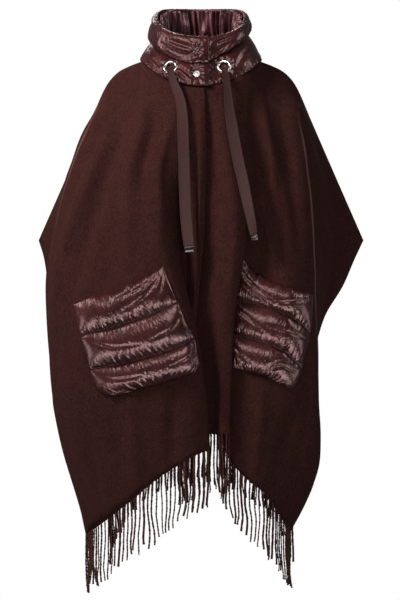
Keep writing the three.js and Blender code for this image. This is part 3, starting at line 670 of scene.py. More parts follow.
back_half = [
    {"neck": 150, "lap": 0, "path": [
        (52, 92, -60), (50, 110, -140), (50, 123, -230), (50, 130, -320),
        (50, 136, -410), (49, 140, -500), (48, 143, -600), (46, 145, -692)]},
    {"neck": 118, "lap": 0, "path": [
        (92, 72, -60), (96, 94, -140), (98, 106, -230), (98, 108, -320),
        (97, 106, -410), (95, 104, -510), (90, 104, -610), (84, 104, -706)]},
    {"neck": 90, "shoulder": 0, "lap": 0, "path": [
        (118, 40, -60), (132, 74, -140), (140, 96, -230), (143, 110, -320),
        (142, 120, -420), (138, 127, -520), (128, 131, -620), (113, 132, -730)]},
    {"shoulder": 0.14, "path": [
        (160, 30, -80), (174, 60, -160), (180, 80, -250), (180, 88, -340),
        (174, 90, -440), (166, 90, -540), (154, 90, -650), (135, 92, -756)]},
    {"shoulder": 0.3, "path": [
        (206, 34, -140), (220, 58, -220), (228, 74, -310), (222, 84, -400),
        (208, 91, -500), (192, 96, -600), (174, 98, -700), (152, 97, -782)]},
    {"shoulder": 0.64, "path": [
        (262, 34, -290), (256, 48, -360), (236, 60, -430), (215, 70, -500),
        (203, 77, -580), (193, 82, -660), (181, 87, -740), (164, 88, -810)]},
    {"shoulder": 1, "path": [
        (286, 30, -358), (265, 40, -400), (241, 50, -450), (218, 58, -510),
        (206, 64, -580), (198, 68, -660), (189, 72, -750), (174, 77, -838)]},
]
MIRROR_WIDER = 1.04
MIRROR_FLATTER = 4


def mirrored(fold, order):
    """The left half's copy of a fold line, a little wider and shallower."""
    shallower = -MIRROR_FLATTER if order % 2 == 0 else MIRROR_FLATTER
    selvedge = fold.get("shoulder") == 1
    path = []
    for level, (x, y, z) in enumerate(fold["path"]):
        grown = level / (len(fold["path"]) - 1)
        wider = 1 if selvedge else mix(1, MIRROR_WIDER, grown)
        path.append((-x * wider, y + (0 if selvedge else shallower * grown), z))
    made = dict(fold, path=path, mirrored=True)
    if "neck" in fold:
        made["neck"] = FULL_TURN - fold["neck"]
    return made


back_folds = [mirrored(fold, order) for order, fold in enumerate(back_half)][::-1]
back_folds = back_folds + [back_middle] + back_half


# %% Panels
def step_of(steps, values):
    """Index of the step that each value falls in, and the share of that step behind it."""
    index = np.clip(np.searchsorted(steps, values, "right") - 1, 0, len(steps) - 2)
    share = (values - steps[index]) / (steps[index + 1] - steps[index])
    return index, share[..., None]


class Panel:
    """The outer face of one wool panel, worked out from its fold lines."""

    def __init__(self, folds, side, seam_shift, steps):
        self.folds = folds
        self.side = side
        self.seam_shift = seam_shift
        self.steps = steps
        tops = [self.top(np.array([float(k)]))[0] for k in range(len(folds))]
        self.lines = np.array([[top] + fold["path"] for top, fold in zip(tops, folds)], float)
        self.levels = len(folds[0]["path"])

    def top(self, places):
        points = []
        for place in places:
            index = min(int(place), len(self.folds) - 2)
            share = place - index
            a, b = self.folds[index], self.folds[index + 1]
            if "neck" in a and "neck" in b:
                lap = mix(a["lap"], b["lap"], share)
                points.append(neckline(mix(a["neck"], b["neck"], share), lap))
            else:
                outer = a if "neck" not in a else b
                side = -self.side if outer.get("mirrored") else self.side
                point = shoulder(side, mix(a["shoulder"], b["shoulder"], share))
                points.append(point + np.array([0, self.seam_shift, 0]))
        return np.array(points)

    def grid(self, places, levels):
        """Points of the outer face, a row for each level and a column for each place."""
        rows = curve_through(self.lines.transpose(1, 0, 2), levels / self.levels)
        shares = places / (len(self.folds) - 1)
        points = curve_through(rows.transpose(1, 0, 2), shares).transpose(1, 0, 2)
        tops = self.top(places) - curve_through(self.lines[:, 0], shares)
        hold = np.clip(1 - levels, 0, 1) ** 2
        return points + hold[:, None, None] * tops[None]

    def stepped(self, finer):
        places = [0.0]
        for index, count in enumerate(self.steps):
            places += [index + step / (count * finer) for step in range(1, count * finer + 1)]
        return np.array(places)

    def facets(self, places, levels):
        """Points on the flat facets of the panel's solid, at pairs of a place and a level."""
        if not hasattr(self, "solid"):
            self.solid_places = self.stepped(1)
            self.solid_levels = np.arange(self.levels * 2 + 1) / 2
            self.solid = self.grid(self.solid_places, self.solid_levels)
        j, u = step_of(self.solid_places, places)
        i, v = step_of(self.solid_levels, levels)
        upper = mix(self.solid[i, j], self.solid[i, j + 1], u)
        lower = mix(self.solid[i + 1, j], self.solid[i + 1, j + 1], u)
        return mix(upper, lower, v)


left_panel = Panel(front_left_folds, -1, -SHOULDER_GAP / 2, [2, 2, 2, 2, 2, 2, 3, 3, 5])
right_panel = Panel(front_right_folds, 1, -SHOULDER_GAP / 2, [2, 2, 2, 2, 3, 3, 3, 3, 4])
back_panel = Panel(back_folds, 1, SHOULDER_GAP / 2, [2] * (2 * len(back_half)))
print("panels", left_panel.lines.shape, right_panel.lines.shape, back_panel.lines.shape)

# %% [markdown]
# ## Creases
# Between the big folds the wool has soft troughs and ridges. Each one is a short line on the cloth
# with its own width and depth in millimetres, and the cloth is moved along its normal by a
# bell-shaped amount round that line. The rows are listed, and a factor for each kind of cloth then
# makes all its creases wider or deeper together.


# %% Creases
FACE_REACH = 26
RIPPLES = 7


def faded(along, margin, power):
    """A share that is low at both ends of a line and 1 in its middle."""
    inside = np.clip(along * (1 - 2 * margin) + margin, 0, 1)
    return np.sin(np.pi * inside) ** power


def near_line(points, line, finder, normals):
    """Distance of each point to a line, seen square to the cloth, and how far along it is."""
    fine = curve_through(line, np.linspace(0, 1, 4 * len(line)))
    path = finder(fine[:, 0], fine[:, 1])
    near = np.full(points.shape[:2], np.inf)
    along = np.zeros(points.shape[:2])
    for k in range(len(path) - 1):
        a, step = path[k], path[k + 1] - path[k]
        share = np.clip((points - a) @ step / max(step @ step, 1e-9), 0, 1)
        rest = points - a - share[..., None] * step
        above = (rest * normals).sum(axis=-1)
        apart = np.linalg.norm(rest - normals * above[..., None], axis=-1)
        apart = np.where(np.abs(above) < FACE_REACH, apart, np.inf)
        closer = apart < near
        near = np.where(closer, apart, near)
        along = np.where(closer, (k + share) / (len(path) - 1), along)
    return near, along


def creased(points, normals, finder, creases):
    """Points moved out or in along the creases: a line of places, a width and a depth."""
    moved = np.zeros(points.shape[:2])
    for line, width, depth in creases:
        near, along = near_line(points, line, finder, normals)
        moved += depth * faded(along, 0.05, 0.7) * bell(near, width)
    return points + normals * moved[..., None]


def stronger(creases, wider=1, deeper=1):
    """The same creases, made wider and deeper by a factor each."""
    return [(line, width * wider, depth * deeper) for line, width, depth in creases]


def refined(grid, times):
    """The grid with more columns, on the same smooth surface."""
    shares = np.linspace(0, 1, (grid.shape[1] - 1) * times + 1)
    return curve_through(grid.transpose(1, 0, 2), shares).transpose(1, 0, 2)


def rippled(points, normals, rng, size, depth):
    """Points moved by a few long waves, so that no area of cloth is quite even."""
    moved = np.zeros(points.shape[:2])
    for wave in range(RIPPLES):
        direction = unit(rng.normal(size=3) * np.array([1, 1, 0.5]))
        pitch = size * rng.uniform(0.6, 1.7)
        moved += np.sin(points @ direction * 2 * np.pi / pitch + rng.uniform(0, 2 * np.pi))
    return points + normals * (depth * moved / 3)[..., None]


front_left_creases = [
    ([(7.2, 1.2), (7.3, 2.6), (7.5, 4.0), (7.6, 5.2)], 13, 5.0),
    ([(6.7, 1.0), (6.75, 2.4), (6.9, 3.8), (7.1, 5.0)], 12, -4.0),
    ([(5.6, 0.6), (5.3, 1.8), (5.2, 3.0), (5.3, 4.2)], 10, 3.0),
    ([(4.9, 0.4), (4.7, 1.6), (4.6, 2.6)], 9, -3.0),
    ([(3.6, 0.5), (3.5, 1.5), (3.6, 2.6), (3.7, 3.6)], 7, 2.2),
    ([(1.4, 0.5), (1.3, 2.0), (1.2, 4.0), (1.3, 6.0)], 5, -1.6),
    ([(8.1, 1.5), (8.1, 3.0), (8.1, 4.6), (8.2, 6.0)], 8, -2.6),
    ([(5.8, 6.9), (5.7, 7.5), (5.7, 8.0)], 10, 3.0),
    ([(4.6, 6.8), (4.7, 7.4), (4.7, 8.0)], 9, -3.0),
    ([(7.0, 7.0), (6.9, 7.5), (6.8, 8.0)], 9, -2.6),
    ([(4.2, 3.2), (3.9, 4.2), (3.7, 5.2), (3.6, 6.4)], 8, 1.6),
]
front_right_creases = [
    ([(5.6, 0.6), (5.6, 1.6), (5.5, 2.6), (5.5, 3.4)], 10, 4.0),
    ([(4.9, 0.5), (4.8, 1.6), (4.8, 2.7)], 9, -3.6),
    ([(6.4, 0.6), (6.35, 1.8), (6.3, 3.0), (6.3, 4.2)], 10, -2.8),
    ([(2.5, 0.5), (2.5, 2.0), (2.5, 3.6), (2.4, 5.4)], 8, 1.8),
    ([(1.4, 0.6), (1.5, 2.2), (1.6, 4.0)], 7, -2.0),
    ([(5.4, 6.7), (5.5, 7.3), (5.5, 8.0)], 10, 3.0),
    ([(6.3, 6.9), (6.2, 7.4), (6.2, 8.0)], 9, -3.0),
    ([(6.8, 5.2), (6.8, 6.2), (6.8, 7.2)], 9, 2.0),
]
back_creases = [
    ([(7.4, 0.5), (7.2, 1.6), (7.1, 2.8), (7.0, 4.2)], 13, -3.4),
    ([(5.2, 0.7), (5.1, 2.0), (5.2, 3.6), (5.1, 5.0)], 12, 3.6),
    ([(9.0, 0.5), (9.2, 1.7), (9.1, 3.0), (9.2, 4.8)], 12, 3.0),
    ([(10.6, 0.6), (10.7, 2.0), (10.6, 3.4)], 11, -3.0),
    ([(3.1, 0.9), (3.0, 2.2), (3.1, 4.0)], 12, -3.2),
    ([(11.8, 1.0), (11.9, 2.6), (11.8, 4.4), (11.9, 6.0)], 12, 3.2),
    ([(6.6, 4.6), (6.5, 5.8), (6.5, 7.6)], 10, 2.4),
    ([(9.8, 4.4), (9.9, 6.0), (9.9, 7.8)], 11, -2.6),
]

# Folded edges that get a painted highlight, where the fold catches the light: a line of places and
# a width.
left_fold_highlights = [([(8.0, 0.2), (8.0, 1.4), (8.0, 2.8), (8.02, 4.2)], 1.5)]
right_fold_highlights = [([(7.0, 0.5), (7.0, 2.0), (7.0, 4.0), (7.0, 6.2)], 1.5)]
print("creases", len(front_left_creases), len(front_right_creases), len(back_creases))

# %% [markdown]
# ## Wool panels
# Each panel is its own thin shell. It keeps the solid's own line at the top, where it is sewn.
# Below that come its creases and a soft ripple, and the hem draws in between the fringe's knots.

# %% Wool
FINER_ACROSS = 6
ROWS_PER_LEVEL = 11
HEM_SCALLOP = 1.0
RIPPLE_SIZE = 70
RIPPLE_DEPTH = 0.7
SEWN_LEVELS = 0.7
BRIGHTEST_FOLD_HIGHLIGHT = 0.6
WOOL_CREASES_WIDER = 1.35
WOOL_CREASES_DEEPER = 2.3


def wool_panel(name, node, panel, guide, creases, fold_highlights, seed, scallops):
    rng = np.random.default_rng(seed)
    places = panel.stepped(FINER_ACROSS)
    levels = np.linspace(0, panel.levels, panel.levels * ROWS_PER_LEVEL + 1)
    base = panel.grid(places, levels)
    normals = normals_of(base, guide)
    marked = stronger(creases, WOOL_CREASES_WIDER, WOOL_CREASES_DEEPER)
    outer = creased(base, normals, panel.facets, marked)
    rolled = rippled(outer, normals, rng, RIPPLE_SIZE, RIPPLE_DEPTH)
    outer = mix(base, rolled, smooth(levels / SEWN_LEVELS)[:, None, None])
    walked = np.linspace(0, 1, len(places))
    drawn = np.cos(walked * 2 * np.pi * scallops) * HEM_SCALLOP
    outer[-1, :, 2] += drawn
    inner = outer - normals_of(outer, guide) * CLOTH
    made = wall(name, outer * MM, inner * MM, wool)
    # Painted highlight along the folded edges, read by the wool's colour.
    fold_highlight = np.zeros(outer.shape[:2])
    for line, width in fold_highlights:
        near, along = near_line(base, line, panel.facets, normals)
        fold_highlight = np.maximum(fold_highlight, BRIGHTEST_FOLD_HIGHLIGHT * faded(along, 0.03, 0.5) * bell(near, width))
    mark(made, "fold_highlight", fold_highlight)
    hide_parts(node)
    hem = (outer[-1] + inner[-1]) / 2
    down = np.linalg.norm(np.diff(outer, axis=0), axis=-1).sum(axis=0)
    wide = np.linalg.norm(np.diff(outer, axis=1), axis=-1).sum(axis=1)
    print(name, "longest", round(down.max()), "widest", round(wide.max()), "mm")
    return made, hem * MM


TOWARDS_FRONT = (0, -1, 0)
TOWARDS_BACK = (0, 1, 0)
wool_left, hem_left = wool_panel(
    "wool_front_left", "front_left", left_panel, TOWARDS_FRONT, front_left_creases,
    left_fold_highlights, 11, 46)
wool_right, hem_right = wool_panel(
    "wool_front_right", "front_right", right_panel, TOWARDS_FRONT, front_right_creases,
    right_fold_highlights, 12, 42)
wool_back, hem_back = wool_panel(
    "wool_back", "back", back_panel, TOWARDS_BACK, back_creases, [], 13, 70)

# %% [markdown]
# ## Padding
# A quilted channel is two layers of nylon sewn along its borders and filled. The seam takes up
# more cloth than its own length, so short puckers of uneven length, width and height stand
# across it. A cloth simulation with pressure inside settles the padding first. It is pinned along
# the seams, and its cut is a little larger than the shape. The puckers are then moved in on a
# finer grid, where they stay sharp.

# %% Padding helpers
PUCKER_WIDTH = (0.16, 0.34)
PUCKER_SHARE = (0.35, 1.0)
PUCKER_SLANT = 0.22
PUCKER_START = 1.8
PAINTED_SHADE_WIDTH = 1.5
SIMULATION_SCALE = 20
SETTLE_FRAMES = 22


def pucker_field(rng, along, away, length, spacing, reach, height):
    """Height of the puckers on one side of a seam, in millimetres."""
    field = np.zeros_like(along)
    count = int(length / spacing)
    for k in range(count):
        middle = (k + rng.uniform(0.1, 0.9)) * length / count
        long = rng.uniform(*reach)
        wide = rng.uniform(*PUCKER_WIDTH) * spacing
        tall = rng.uniform(*PUCKER_SHARE) * height
        slant = rng.normal(0, PUCKER_SLANT)
        apart = (along - middle - slant * away) / (wide * (1 + 0.5 * away / long))
        shape = (1 - np.exp(-away / PUCKER_START)) * np.clip(1 - away / long, 0, 1) ** 1.3
        field += tall * shape * np.exp(-(np.abs(apart) ** 1.6))
    return field


def settled(start, outwards, pinned, ease, most):
    """The padding's face after a pressure simulation, no point moved further than most."""
    rows, columns = start.shape[:2]
    at = np.arange(rows * columns).reshape(rows, columns)
    corners = [at[:-1, :-1], at[1:, :-1], at[1:, 1:], at[:-1, 1:]]
    faces = np.stack(corners, -1).reshape(-1, 4)
    turn = np.cross(np.gradient(start, axis=0), np.gradient(start, axis=1))
    if (turn * outwards).sum() < 0:
        faces = faces[:, ::-1]
    middle = start.reshape(-1, 3).mean(axis=0)
    points = (start.reshape(-1, 3) - middle) * SIMULATION_SCALE
    mesh = bpy.data.meshes.new("settling")
    mesh.from_pydata(points.tolist(), [], faces.tolist())
    cloth = placed("settling", mesh)
    cloth.shape_key_add(name="shape")
    cut = cloth.shape_key_add(name="cut")
    cut.data.foreach_set("co", (points * ease).reshape(-1))
    cut.value = 0
    group = cloth.vertex_groups.new(name="sewn")
    group.add(np.flatnonzero(pinned.reshape(-1)).tolist(), 1.0, "REPLACE")
    modifier = cloth.modifiers.new("cloth", "CLOTH")
    settings = modifier.settings
    values = {
        "quality": 6, "mass": 0.03, "tension_stiffness": 30, "compression_stiffness": 30,
        "shear_stiffness": 10, "bending_stiffness": 0.05, "air_damping": 1,
        "vertex_group_mass": "sewn", "use_pressure": True, "uniform_pressure_force": 8,
    }
    for name, value in values.items():
        setattr(settings, name, value)
    settings.effector_weights.gravity = 0
    settings.rest_shape_key = cut
    modifier.collision_settings.use_collision = False
    modifier.point_cache.frame_start = 1
    modifier.point_cache.frame_end = SETTLE_FRAMES
    for number in range(1, SETTLE_FRAMES + 1):
        bpy.context.scene.frame_set(number)
    solved = cloth.evaluated_get(bpy.context.evaluated_depsgraph_get())
    flat = np.empty(rows * columns * 3)
    solved.data.vertices.foreach_get("co", flat)
    bpy.data.objects.remove(cloth)
    bpy.context.scene.frame_set(1)
    end = flat.reshape(rows, columns, 3) / SIMULATION_SCALE + middle
    step = end - start
    far = np.linalg.norm(step, axis=-1, keepdims=True)
    return start + step * np.minimum(1, most / np.maximum(far, 1e-9))


print("padding helpers ready")

# %% [markdown]
# ## Patch pockets
# Each pocket is a quilted patch of three channels that lies on its wool panel. The mouth
# droops, the lower corners are rounded, and long creases fan from the corners.

# %% Pockets
POCKET_CLEARANCE = 1.9
POCKET_PUFF = 11
POCKET_HEM = 2.2
POCKET_CORNER = 0.13
POCKET_CORNER_DROP = 0.39
POCKET_WIDTH = 180
CHANNEL_HEIGHT = 60
POCKET_COLUMNS = 104
CHANNEL_ROWS = 32
CHANNELS = 3
MOUTH_WAVE = 0.028
MOUTH_PITCHES = (1.7, 3.1, 5.3, 8.7)
POCKET_ROUNDNESS = 0.62
POCKET_LUMPS = 6
POCKET_LUMP = 0.35
POCKET_NOISE = 0.3
POCKET_EASE = 1.1
POCKET_SETTLES = 4.0
PUCKER_PITCH = 4.6
PUCKER_REACH = (8, 26)
TALL_ABOVE_SEAM = 3.2
TALL_BELOW_SEAM = 1.3
FINER_PADDING = 2
POCKET_CREASES_DEEPER = 0.8
ON_LINE = 1e-6

pocket_left_borders = [
    ((7.02, 5.08), (4.05, 4.33)), ((6.86, 5.76), (3.85, 5.04)),
    ((6.64, 6.45), (3.42, 5.76)), ((6.42, 6.98), (3.36, 6.36)),
]
pocket_right_borders = [
    ((4.3, 4.1), (6.8, 4.8)), ((4.3, 4.9), (6.67, 5.47)),
    ((4.3, 5.6), (6.42, 6.14)), ((4.3, 6.28), (6.16, 6.76)),
]


def pocket_points(panel, borders, sag, across, down):
    """Points on the panel's facets, across and down being shares and channel counts."""
    channel = np.minimum(down.astype(int), CHANNELS - 1)
    share = (down - channel)[..., None]
    rows = np.asarray(borders, float)
    start = mix(rows[channel, 0], rows[channel + 1, 0], share)
    end = mix(rows[channel, 1], rows[channel + 1, 1], share)
    corner = np.clip(down - CHANNELS + POCKET_CORNER_DROP, 0, None) / POCKET_CORNER_DROP
    inset = POCKET_CORNER * (1 - np.sqrt(np.clip(1 - corner**2, 0, None)))
    place = mix(inset, 1 - inset, across)
    droop = sag * 4 * place * (1 - place) * np.clip(1 - down, 0, None)
    spots = mix(start, end, place[..., None])
    return panel.facets(spots[..., 0], spots[..., 1] + droop)


def pocket(name, node, panel, borders, sag, creases, seed):
    rng = np.random.default_rng(seed)
    columns = np.linspace(0, 1, POCKET_COLUMNS + 1)
    rows = np.linspace(0, CHANNELS, CHANNELS * CHANNEL_ROWS + 1)
    across, down = np.meshgrid(columns, rows)
    wave = sum(
        rng.uniform(0.4, 1.0) * np.sin(across * 2 * np.pi * pitch + rng.uniform(0, 6))
        for pitch in MOUTH_PITCHES
    )
    edge_wave = MOUTH_WAVE * wave * np.sin(np.pi * across) * np.clip(1 - 2 * down, 0, 1) ** 1.5
    lying = pocket_points(panel, borders, sag, across, down + edge_wave)
    flat = curve_through(lying[:: CHANNEL_ROWS // 4], np.linspace(0, 1, len(rows)))
    normals = normals_of(flat, TOWARDS_FRONT)
    edge = np.minimum(1, 4 * np.minimum(across, 1 - across))
    share = down - np.minimum(down.astype(int), CHANNELS - 1)
    puff = (4 * share * (1 - share)) ** POCKET_ROUNDNESS * np.sqrt(edge)
    height = POCKET_HEM + POCKET_PUFF * puff
    lumps = sum(
        np.sin(across * rng.uniform(9, 30) + share * rng.uniform(2, 7) + rng.uniform(0, 6))
        for lump in range(POCKET_LUMPS)
    )
    lift = POCKET_CLEARANCE + height + POCKET_LUMP * lumps * puff
    outer = lying + normals * lift[..., None]
    outer += rng.normal(0, POCKET_NOISE, outer.shape) * puff[..., None]
    on_side = (across < ON_LINE) | (across > 1 - ON_LINE)
    pinned = (np.abs(down - np.round(down)) < ON_LINE) | on_side
    outer = settled(outer * MM, normals, pinned, POCKET_EASE, POCKET_SETTLES * MM) / MM

    outer = refined(outer, FINER_PADDING)
    normals = unit(refined(normals, FINER_PADDING))
    across, down = np.meshgrid(np.linspace(0, 1, FINER_PADDING * POCKET_COLUMNS + 1), rows)
    edge = np.minimum(1, 6 * np.minimum(across, 1 - across))
    height = np.zeros_like(across)
    for seam in range(CHANNELS + 1):
        for direction in (-1, 1):
            away = (down - seam) * direction * CHANNEL_HEIGHT
            inside = (away >= 0) & (away < CHANNEL_HEIGHT)
            tall = TALL_ABOVE_SEAM if direction < 0 else TALL_BELOW_SEAM
            field = pucker_field(
                rng, across * POCKET_WIDTH, np.maximum(away, 0), POCKET_WIDTH,
                PUCKER_PITCH, PUCKER_REACH, tall)
            height += np.where(inside, field, 0) * np.sqrt(edge)
    outer = outer + normals * height[..., None]

    def finder(place, level):
        return pocket_points(panel, borders, sag, place, level)

    marked = stronger(creases, deeper=POCKET_CREASES_DEEPER)
    outer = creased(outer, normals, finder, marked)
    inner = refined(lying, FINER_PADDING) + normals * POCKET_CLEARANCE
    made = wall(name, outer * MM, inner * MM, nylon)
    # Dark stitch line between channels, with painted shade in the seam groove.
    from_seam = np.abs(down - np.round(down)) * CHANNEL_HEIGHT
    stitched = (np.round(down) > 0) & (np.round(down) < CHANNELS)
    mark(made, "seam", np.where(stitched, bell(from_seam, PAINTED_SHADE_WIDTH), 0))
    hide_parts(node)


pocket_left_creases = [
    ([(0.97, 0.06), (0.8, 0.3), (0.6, 0.52), (0.42, 0.66)], 3.2, -3.2),
    ([(0.98, 0.12), (0.88, 0.4), (0.76, 0.7)], 3.0, -2.8),
    ([(0.9, 0.08), (0.66, 0.2), (0.4, 0.28)], 3.0, -2.4),
    ([(0.08, 1.2), (0.25, 1.5), (0.45, 1.62)], 3.0, -2.2),
    ([(0.95, 1.25), (0.78, 1.5), (0.55, 1.6)], 3.2, -2.6),
    ([(0.06, 2.3), (0.2, 2.5), (0.38, 2.56)], 3.0, -2.2),
    ([(0.94, 2.2), (0.8, 2.42), (0.62, 2.52)], 3.0, -2.4),
]
pocket_right_creases = [
    ([(0.06, 0.3), (0.3, 0.45), (0.55, 0.66)], 3.2, -3.0),
    ([(0.1, 0.55), (0.3, 0.68), (0.5, 0.86)], 3.0, -2.4),
    ([(0.9, 0.2), (0.74, 0.45), (0.6, 0.7)], 3.0, -2.6),
    ([(0.05, 1.3), (0.3, 1.42), (0.5, 1.7)], 3.2, -2.8),
    ([(0.92, 1.3), (0.75, 1.45), (0.55, 1.5)], 3.0, -2.4),
    ([(0.95, 2.3), (0.8, 2.5), (0.7, 2.75)], 3.0, -3.0),
    ([(0.85, 2.2), (0.72, 2.5), (0.66, 2.8)], 3.0, -2.6),
    ([(0.1, 2.3), (0.3, 2.5), (0.45, 2.75)], 3.0, -2.4),
]
pocket(
    "patch_pocket_left", "pocket_left", left_panel, pocket_left_borders, 0.04,
    pocket_left_creases, 21)
pocket(
    "patch_pocket_right", "pocket_right", right_panel, pocket_right_borders, 0.2,
    pocket_right_creases, 22)

# %% [markdown]
# ## Collar
# The collar is two channels. The lower one rises from the neckline, and the upper one stands
# out further and hangs over it. Angles run from the end of the upper flap, round the left side
# and the back, to the end of the lower flap. Eyelets and snaps press flat seats into the padding,
# with short folds that run out of each.

# %% Collar shape
SEAM_GAP = 0.8
RIM_HALF_WIDTH = 78
RIM_SQUARENESS = 0.25
RIM_FRONT = 72
RIM_BACK = 66
RIM_HEIGHT_FRONT = 37
RIM_HEIGHT_BACK = 107
RIM_DIP = 1.65
COLLAR_FLARE = 3
FLAP_OVER_END = 7
FLAP_UNDER_END = -368
FLAP_LAP = 5
JUNCTION = 0.12
FULL_LIP = 0.5
lip_table = [
    (-368, 0.43), (-350, 0.5), (-333, 0.57), (-315, 0.63), (-285, 0.62), (-240, 0.56),
    (-180, 0.5), (-90, 0.4), (-60, 0.42), (-35, 0.44), (-14, 0.42), (7, 0.47),
]
fill_table = [(-368, 0.42), (-345, 0.5), (-320, 1), (-180, 1), (-40, 1), (-12, 0.62), (7, 0.55)]
lap_table = [
    (-368, -FLAP_LAP), (-345, -FLAP_LAP), (-300, 0), (-60, 0), (-12, FLAP_LAP), (7, FLAP_LAP),
]


def collar_point(degrees, height, out):
    degrees, height, out = np.broadcast_arrays(
        np.asarray(degrees, float), np.asarray(height, float), np.asarray(out, float))
    angle = np.radians(degrees)
    forward, sideways = np.cos(angle), np.sin(angle)
    flare = 1 - (1 - height) ** COLLAR_FLARE
    seam = neckline(degrees)
    rim_x = RIM_HALF_WIDTH * sideways * (1 + RIM_SQUARENESS * forward**2)
    rim_y = (RIM_BACK - RIM_FRONT) / 2 - ((RIM_BACK + RIM_FRONT) / 2) * forward
    rim_z = mix(RIM_HEIGHT_BACK, RIM_HEIGHT_FRONT, ((forward + 1) / 2) ** RIM_DIP)
    away = out + value_at(lap_table, degrees)
    return np.stack([
        mix(seam[..., 0], rim_x, flare) + away * sideways,
        mix(seam[..., 1], rim_y, flare) - away * forward,
        mix(seam[..., 2], rim_z, height) + SEAM_GAP,
    ], -1)


def filled(degrees, out):
    return np.where(out > 0, 1 + (out - 1) * value_at(fill_table, degrees), out)


def lower_channel(degrees, share, out):
    lip = value_at(lip_table, degrees)
    return collar_point(degrees, share * (lip + JUNCTION * (1 - lip)), filled(degrees, out))


def upper_channel(degrees, share, out):
    lip = value_at(lip_table, degrees)
    narrow = np.minimum(1, np.sqrt((1 - lip) / FULL_LIP))
    return collar_point(degrees, lip + (1 - lip) * share, filled(degrees, out * narrow))


lower_outer = [(0, 1.6), (0.12, 6), (0.36, 9.5), (0.64, 9.5), (0.86, 6), (0.985, 1.6)]
lower_inner = [(0, 0), (0.985, 0)]
upper_outer = [
    (0.12, 2), (0, 8.5), (0.07, 13), (0.27, 15.5), (0.5, 15), (0.75, 12.5), (0.93, 8.5), (1, 2),
]
upper_inner = [(0.15, 1), (0.22, 0), (0.97, 0.5)]
print("collar rim", RIM_HALF_WIDTH * 2, "mm wide")

# %% Collar pieces
COLLAR_COLUMNS = 340
COLLAR_ROWS = 34
SECTION_SCALE = 30
COLLAR_NOISE = 0.25
COLLAR_EASE = 1.06
COLLAR_SETTLES = 3.0
COLLAR_END = 10
CREASE_FACE = 10.0
COLLAR_PAINTED_SHADE = 0.8


def seat_on_collar(degrees, height, crown):
    """Point on the channel's face and the direction out of it."""
    def face(angle, share):
        return collar_point(angle, share, filled(angle, crown))

    along = face(degrees + 3, height) - face(degrees - 3, height)
    up = face(degrees, height + 0.04) - face(degrees, height - 0.04)
    return face(degrees, height), unit(np.cross(along, up))


SEAT_LEVEL = 0.6
SEAT_MARGIN = 1
SEAT_EASE = 9
SEAT_REACH = 14
SEAT_FOLDS = 9
FOLD_HEIGHT = 0.9
FOLD_PLACE = 5
FOLD_WIDTH = 4
HOLE_DEPTH = 4.5
HOLE_MARGIN = 2
HOLE_EASE = 2.5


def walked_over(grid, axis):
    """Distance walked along the cloth from the grid's first row or column to each point."""
    first = np.take(grid, [0], axis=axis)
    steps = np.linalg.norm(np.diff(grid, axis=axis, prepend=first), axis=-1)
    return np.cumsum(steps, axis=axis)


def seated(outer, fastenings):
    """The face pressed flat under each fastening, with short folds that run out of it."""
    for (degrees, height, crown), radius, hole in fastenings:
        place, normal = seat_on_collar(degrees, height, crown)
        side = unit(np.cross(normal, np.array([0.0, 0.0, 1.0])))
        other = np.cross(normal, side)
        level = (outer - place) @ normal
        x, y = (outer - place) @ side, (outer - place) @ other
        apart = np.hypot(x, y)
        pressed = 1 - smooth((apart - radius - SEAT_MARGIN) / SEAT_EASE)
        turns = np.cos(SEAT_FOLDS * np.arctan2(y, x) + radius)
        folds = turns * bell(apart - radius - FOLD_PLACE, FOLD_WIDTH)
        sunk = HOLE_DEPTH * (1 - smooth((apart - hole + HOLE_MARGIN) / HOLE_EASE)) if hole else 0
        change = pressed * (SEAT_LEVEL - level) + FOLD_HEIGHT * folds - sunk
        outer = outer + normal * np.where(np.abs(level) < SEAT_REACH, change, 0)[..., None]
    return outer


def collar_channel(
        name, node, shape, outer_section, inner_section, families, creases, fastenings, seed):
    rng = np.random.default_rng(seed)
    degrees = np.linspace(FLAP_OVER_END, FLAP_UNDER_END, COLLAR_COLUMNS + 1)
    steps = np.linspace(0, 1, COLLAR_ROWS + 1)

    def face(section):
        spots = curve_through([(s, out / SECTION_SCALE, 0) for s, out in section], steps)
        return shape(degrees[None], spots[:, :1], spots[:, 1:2] * SECTION_SCALE)

    outer = face(outer_section)
    inner = face(inner_section)
    outwards = unit(np.cross(np.gradient(outer, axis=1), np.gradient(outer, axis=0)))
    middle = outer[COLLAR_ROWS // 2]
    if (middle * outwards[COLLAR_ROWS // 2])[..., :2].sum() < 0:
        outwards = -outwards
    outer = outer + outwards * rng.normal(0, COLLAR_NOISE, outer.shape[:2])[..., None]
    pinned = np.zeros(outer.shape[:2], bool)
    pinned[[0, -1]] = True
    pinned[:, [0, -1]] = True
    outer = settled(outer * MM, outwards, pinned, COLLAR_EASE, COLLAR_SETTLES * MM) / MM

    outer, inner = refined(outer, FINER_PADDING), refined(inner, FINER_PADDING)
    outwards = unit(refined(outwards, FINER_PADDING))
    along, down = walked_over(outer, 1), walked_over(outer, 0)
    ends = np.minimum(1, np.minimum(along, along[:, -1:] - along) / COLLAR_END)
    height = np.zeros(outer.shape[:2])
    for from_top, spacing, reach, tall in families:
        away = down[-1:] - down if from_top else down
        height += pucker_field(rng, along, away, along.max(), spacing, reach, tall)
    outer = outer + outwards * (height * ends)[..., None]

    def finder(angle, share):
        return shape(angle, share, np.full_like(angle, CREASE_FACE))

    outer = seated(creased(outer, outwards, finder, creases), fastenings)
    made = wall(name, outer * MM, inner * MM, nylon)
    # Painted shade along both edges of each channel: the seams, the rim and the shade under the
    # overhanging lip.
    from_edge = np.minimum(down, down[-1:] - down)
    mark(made, "seam", bell(from_edge, PAINTED_SHADE_WIDTH) * COLLAR_PAINTED_SHADE)
    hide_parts(node)
    return made


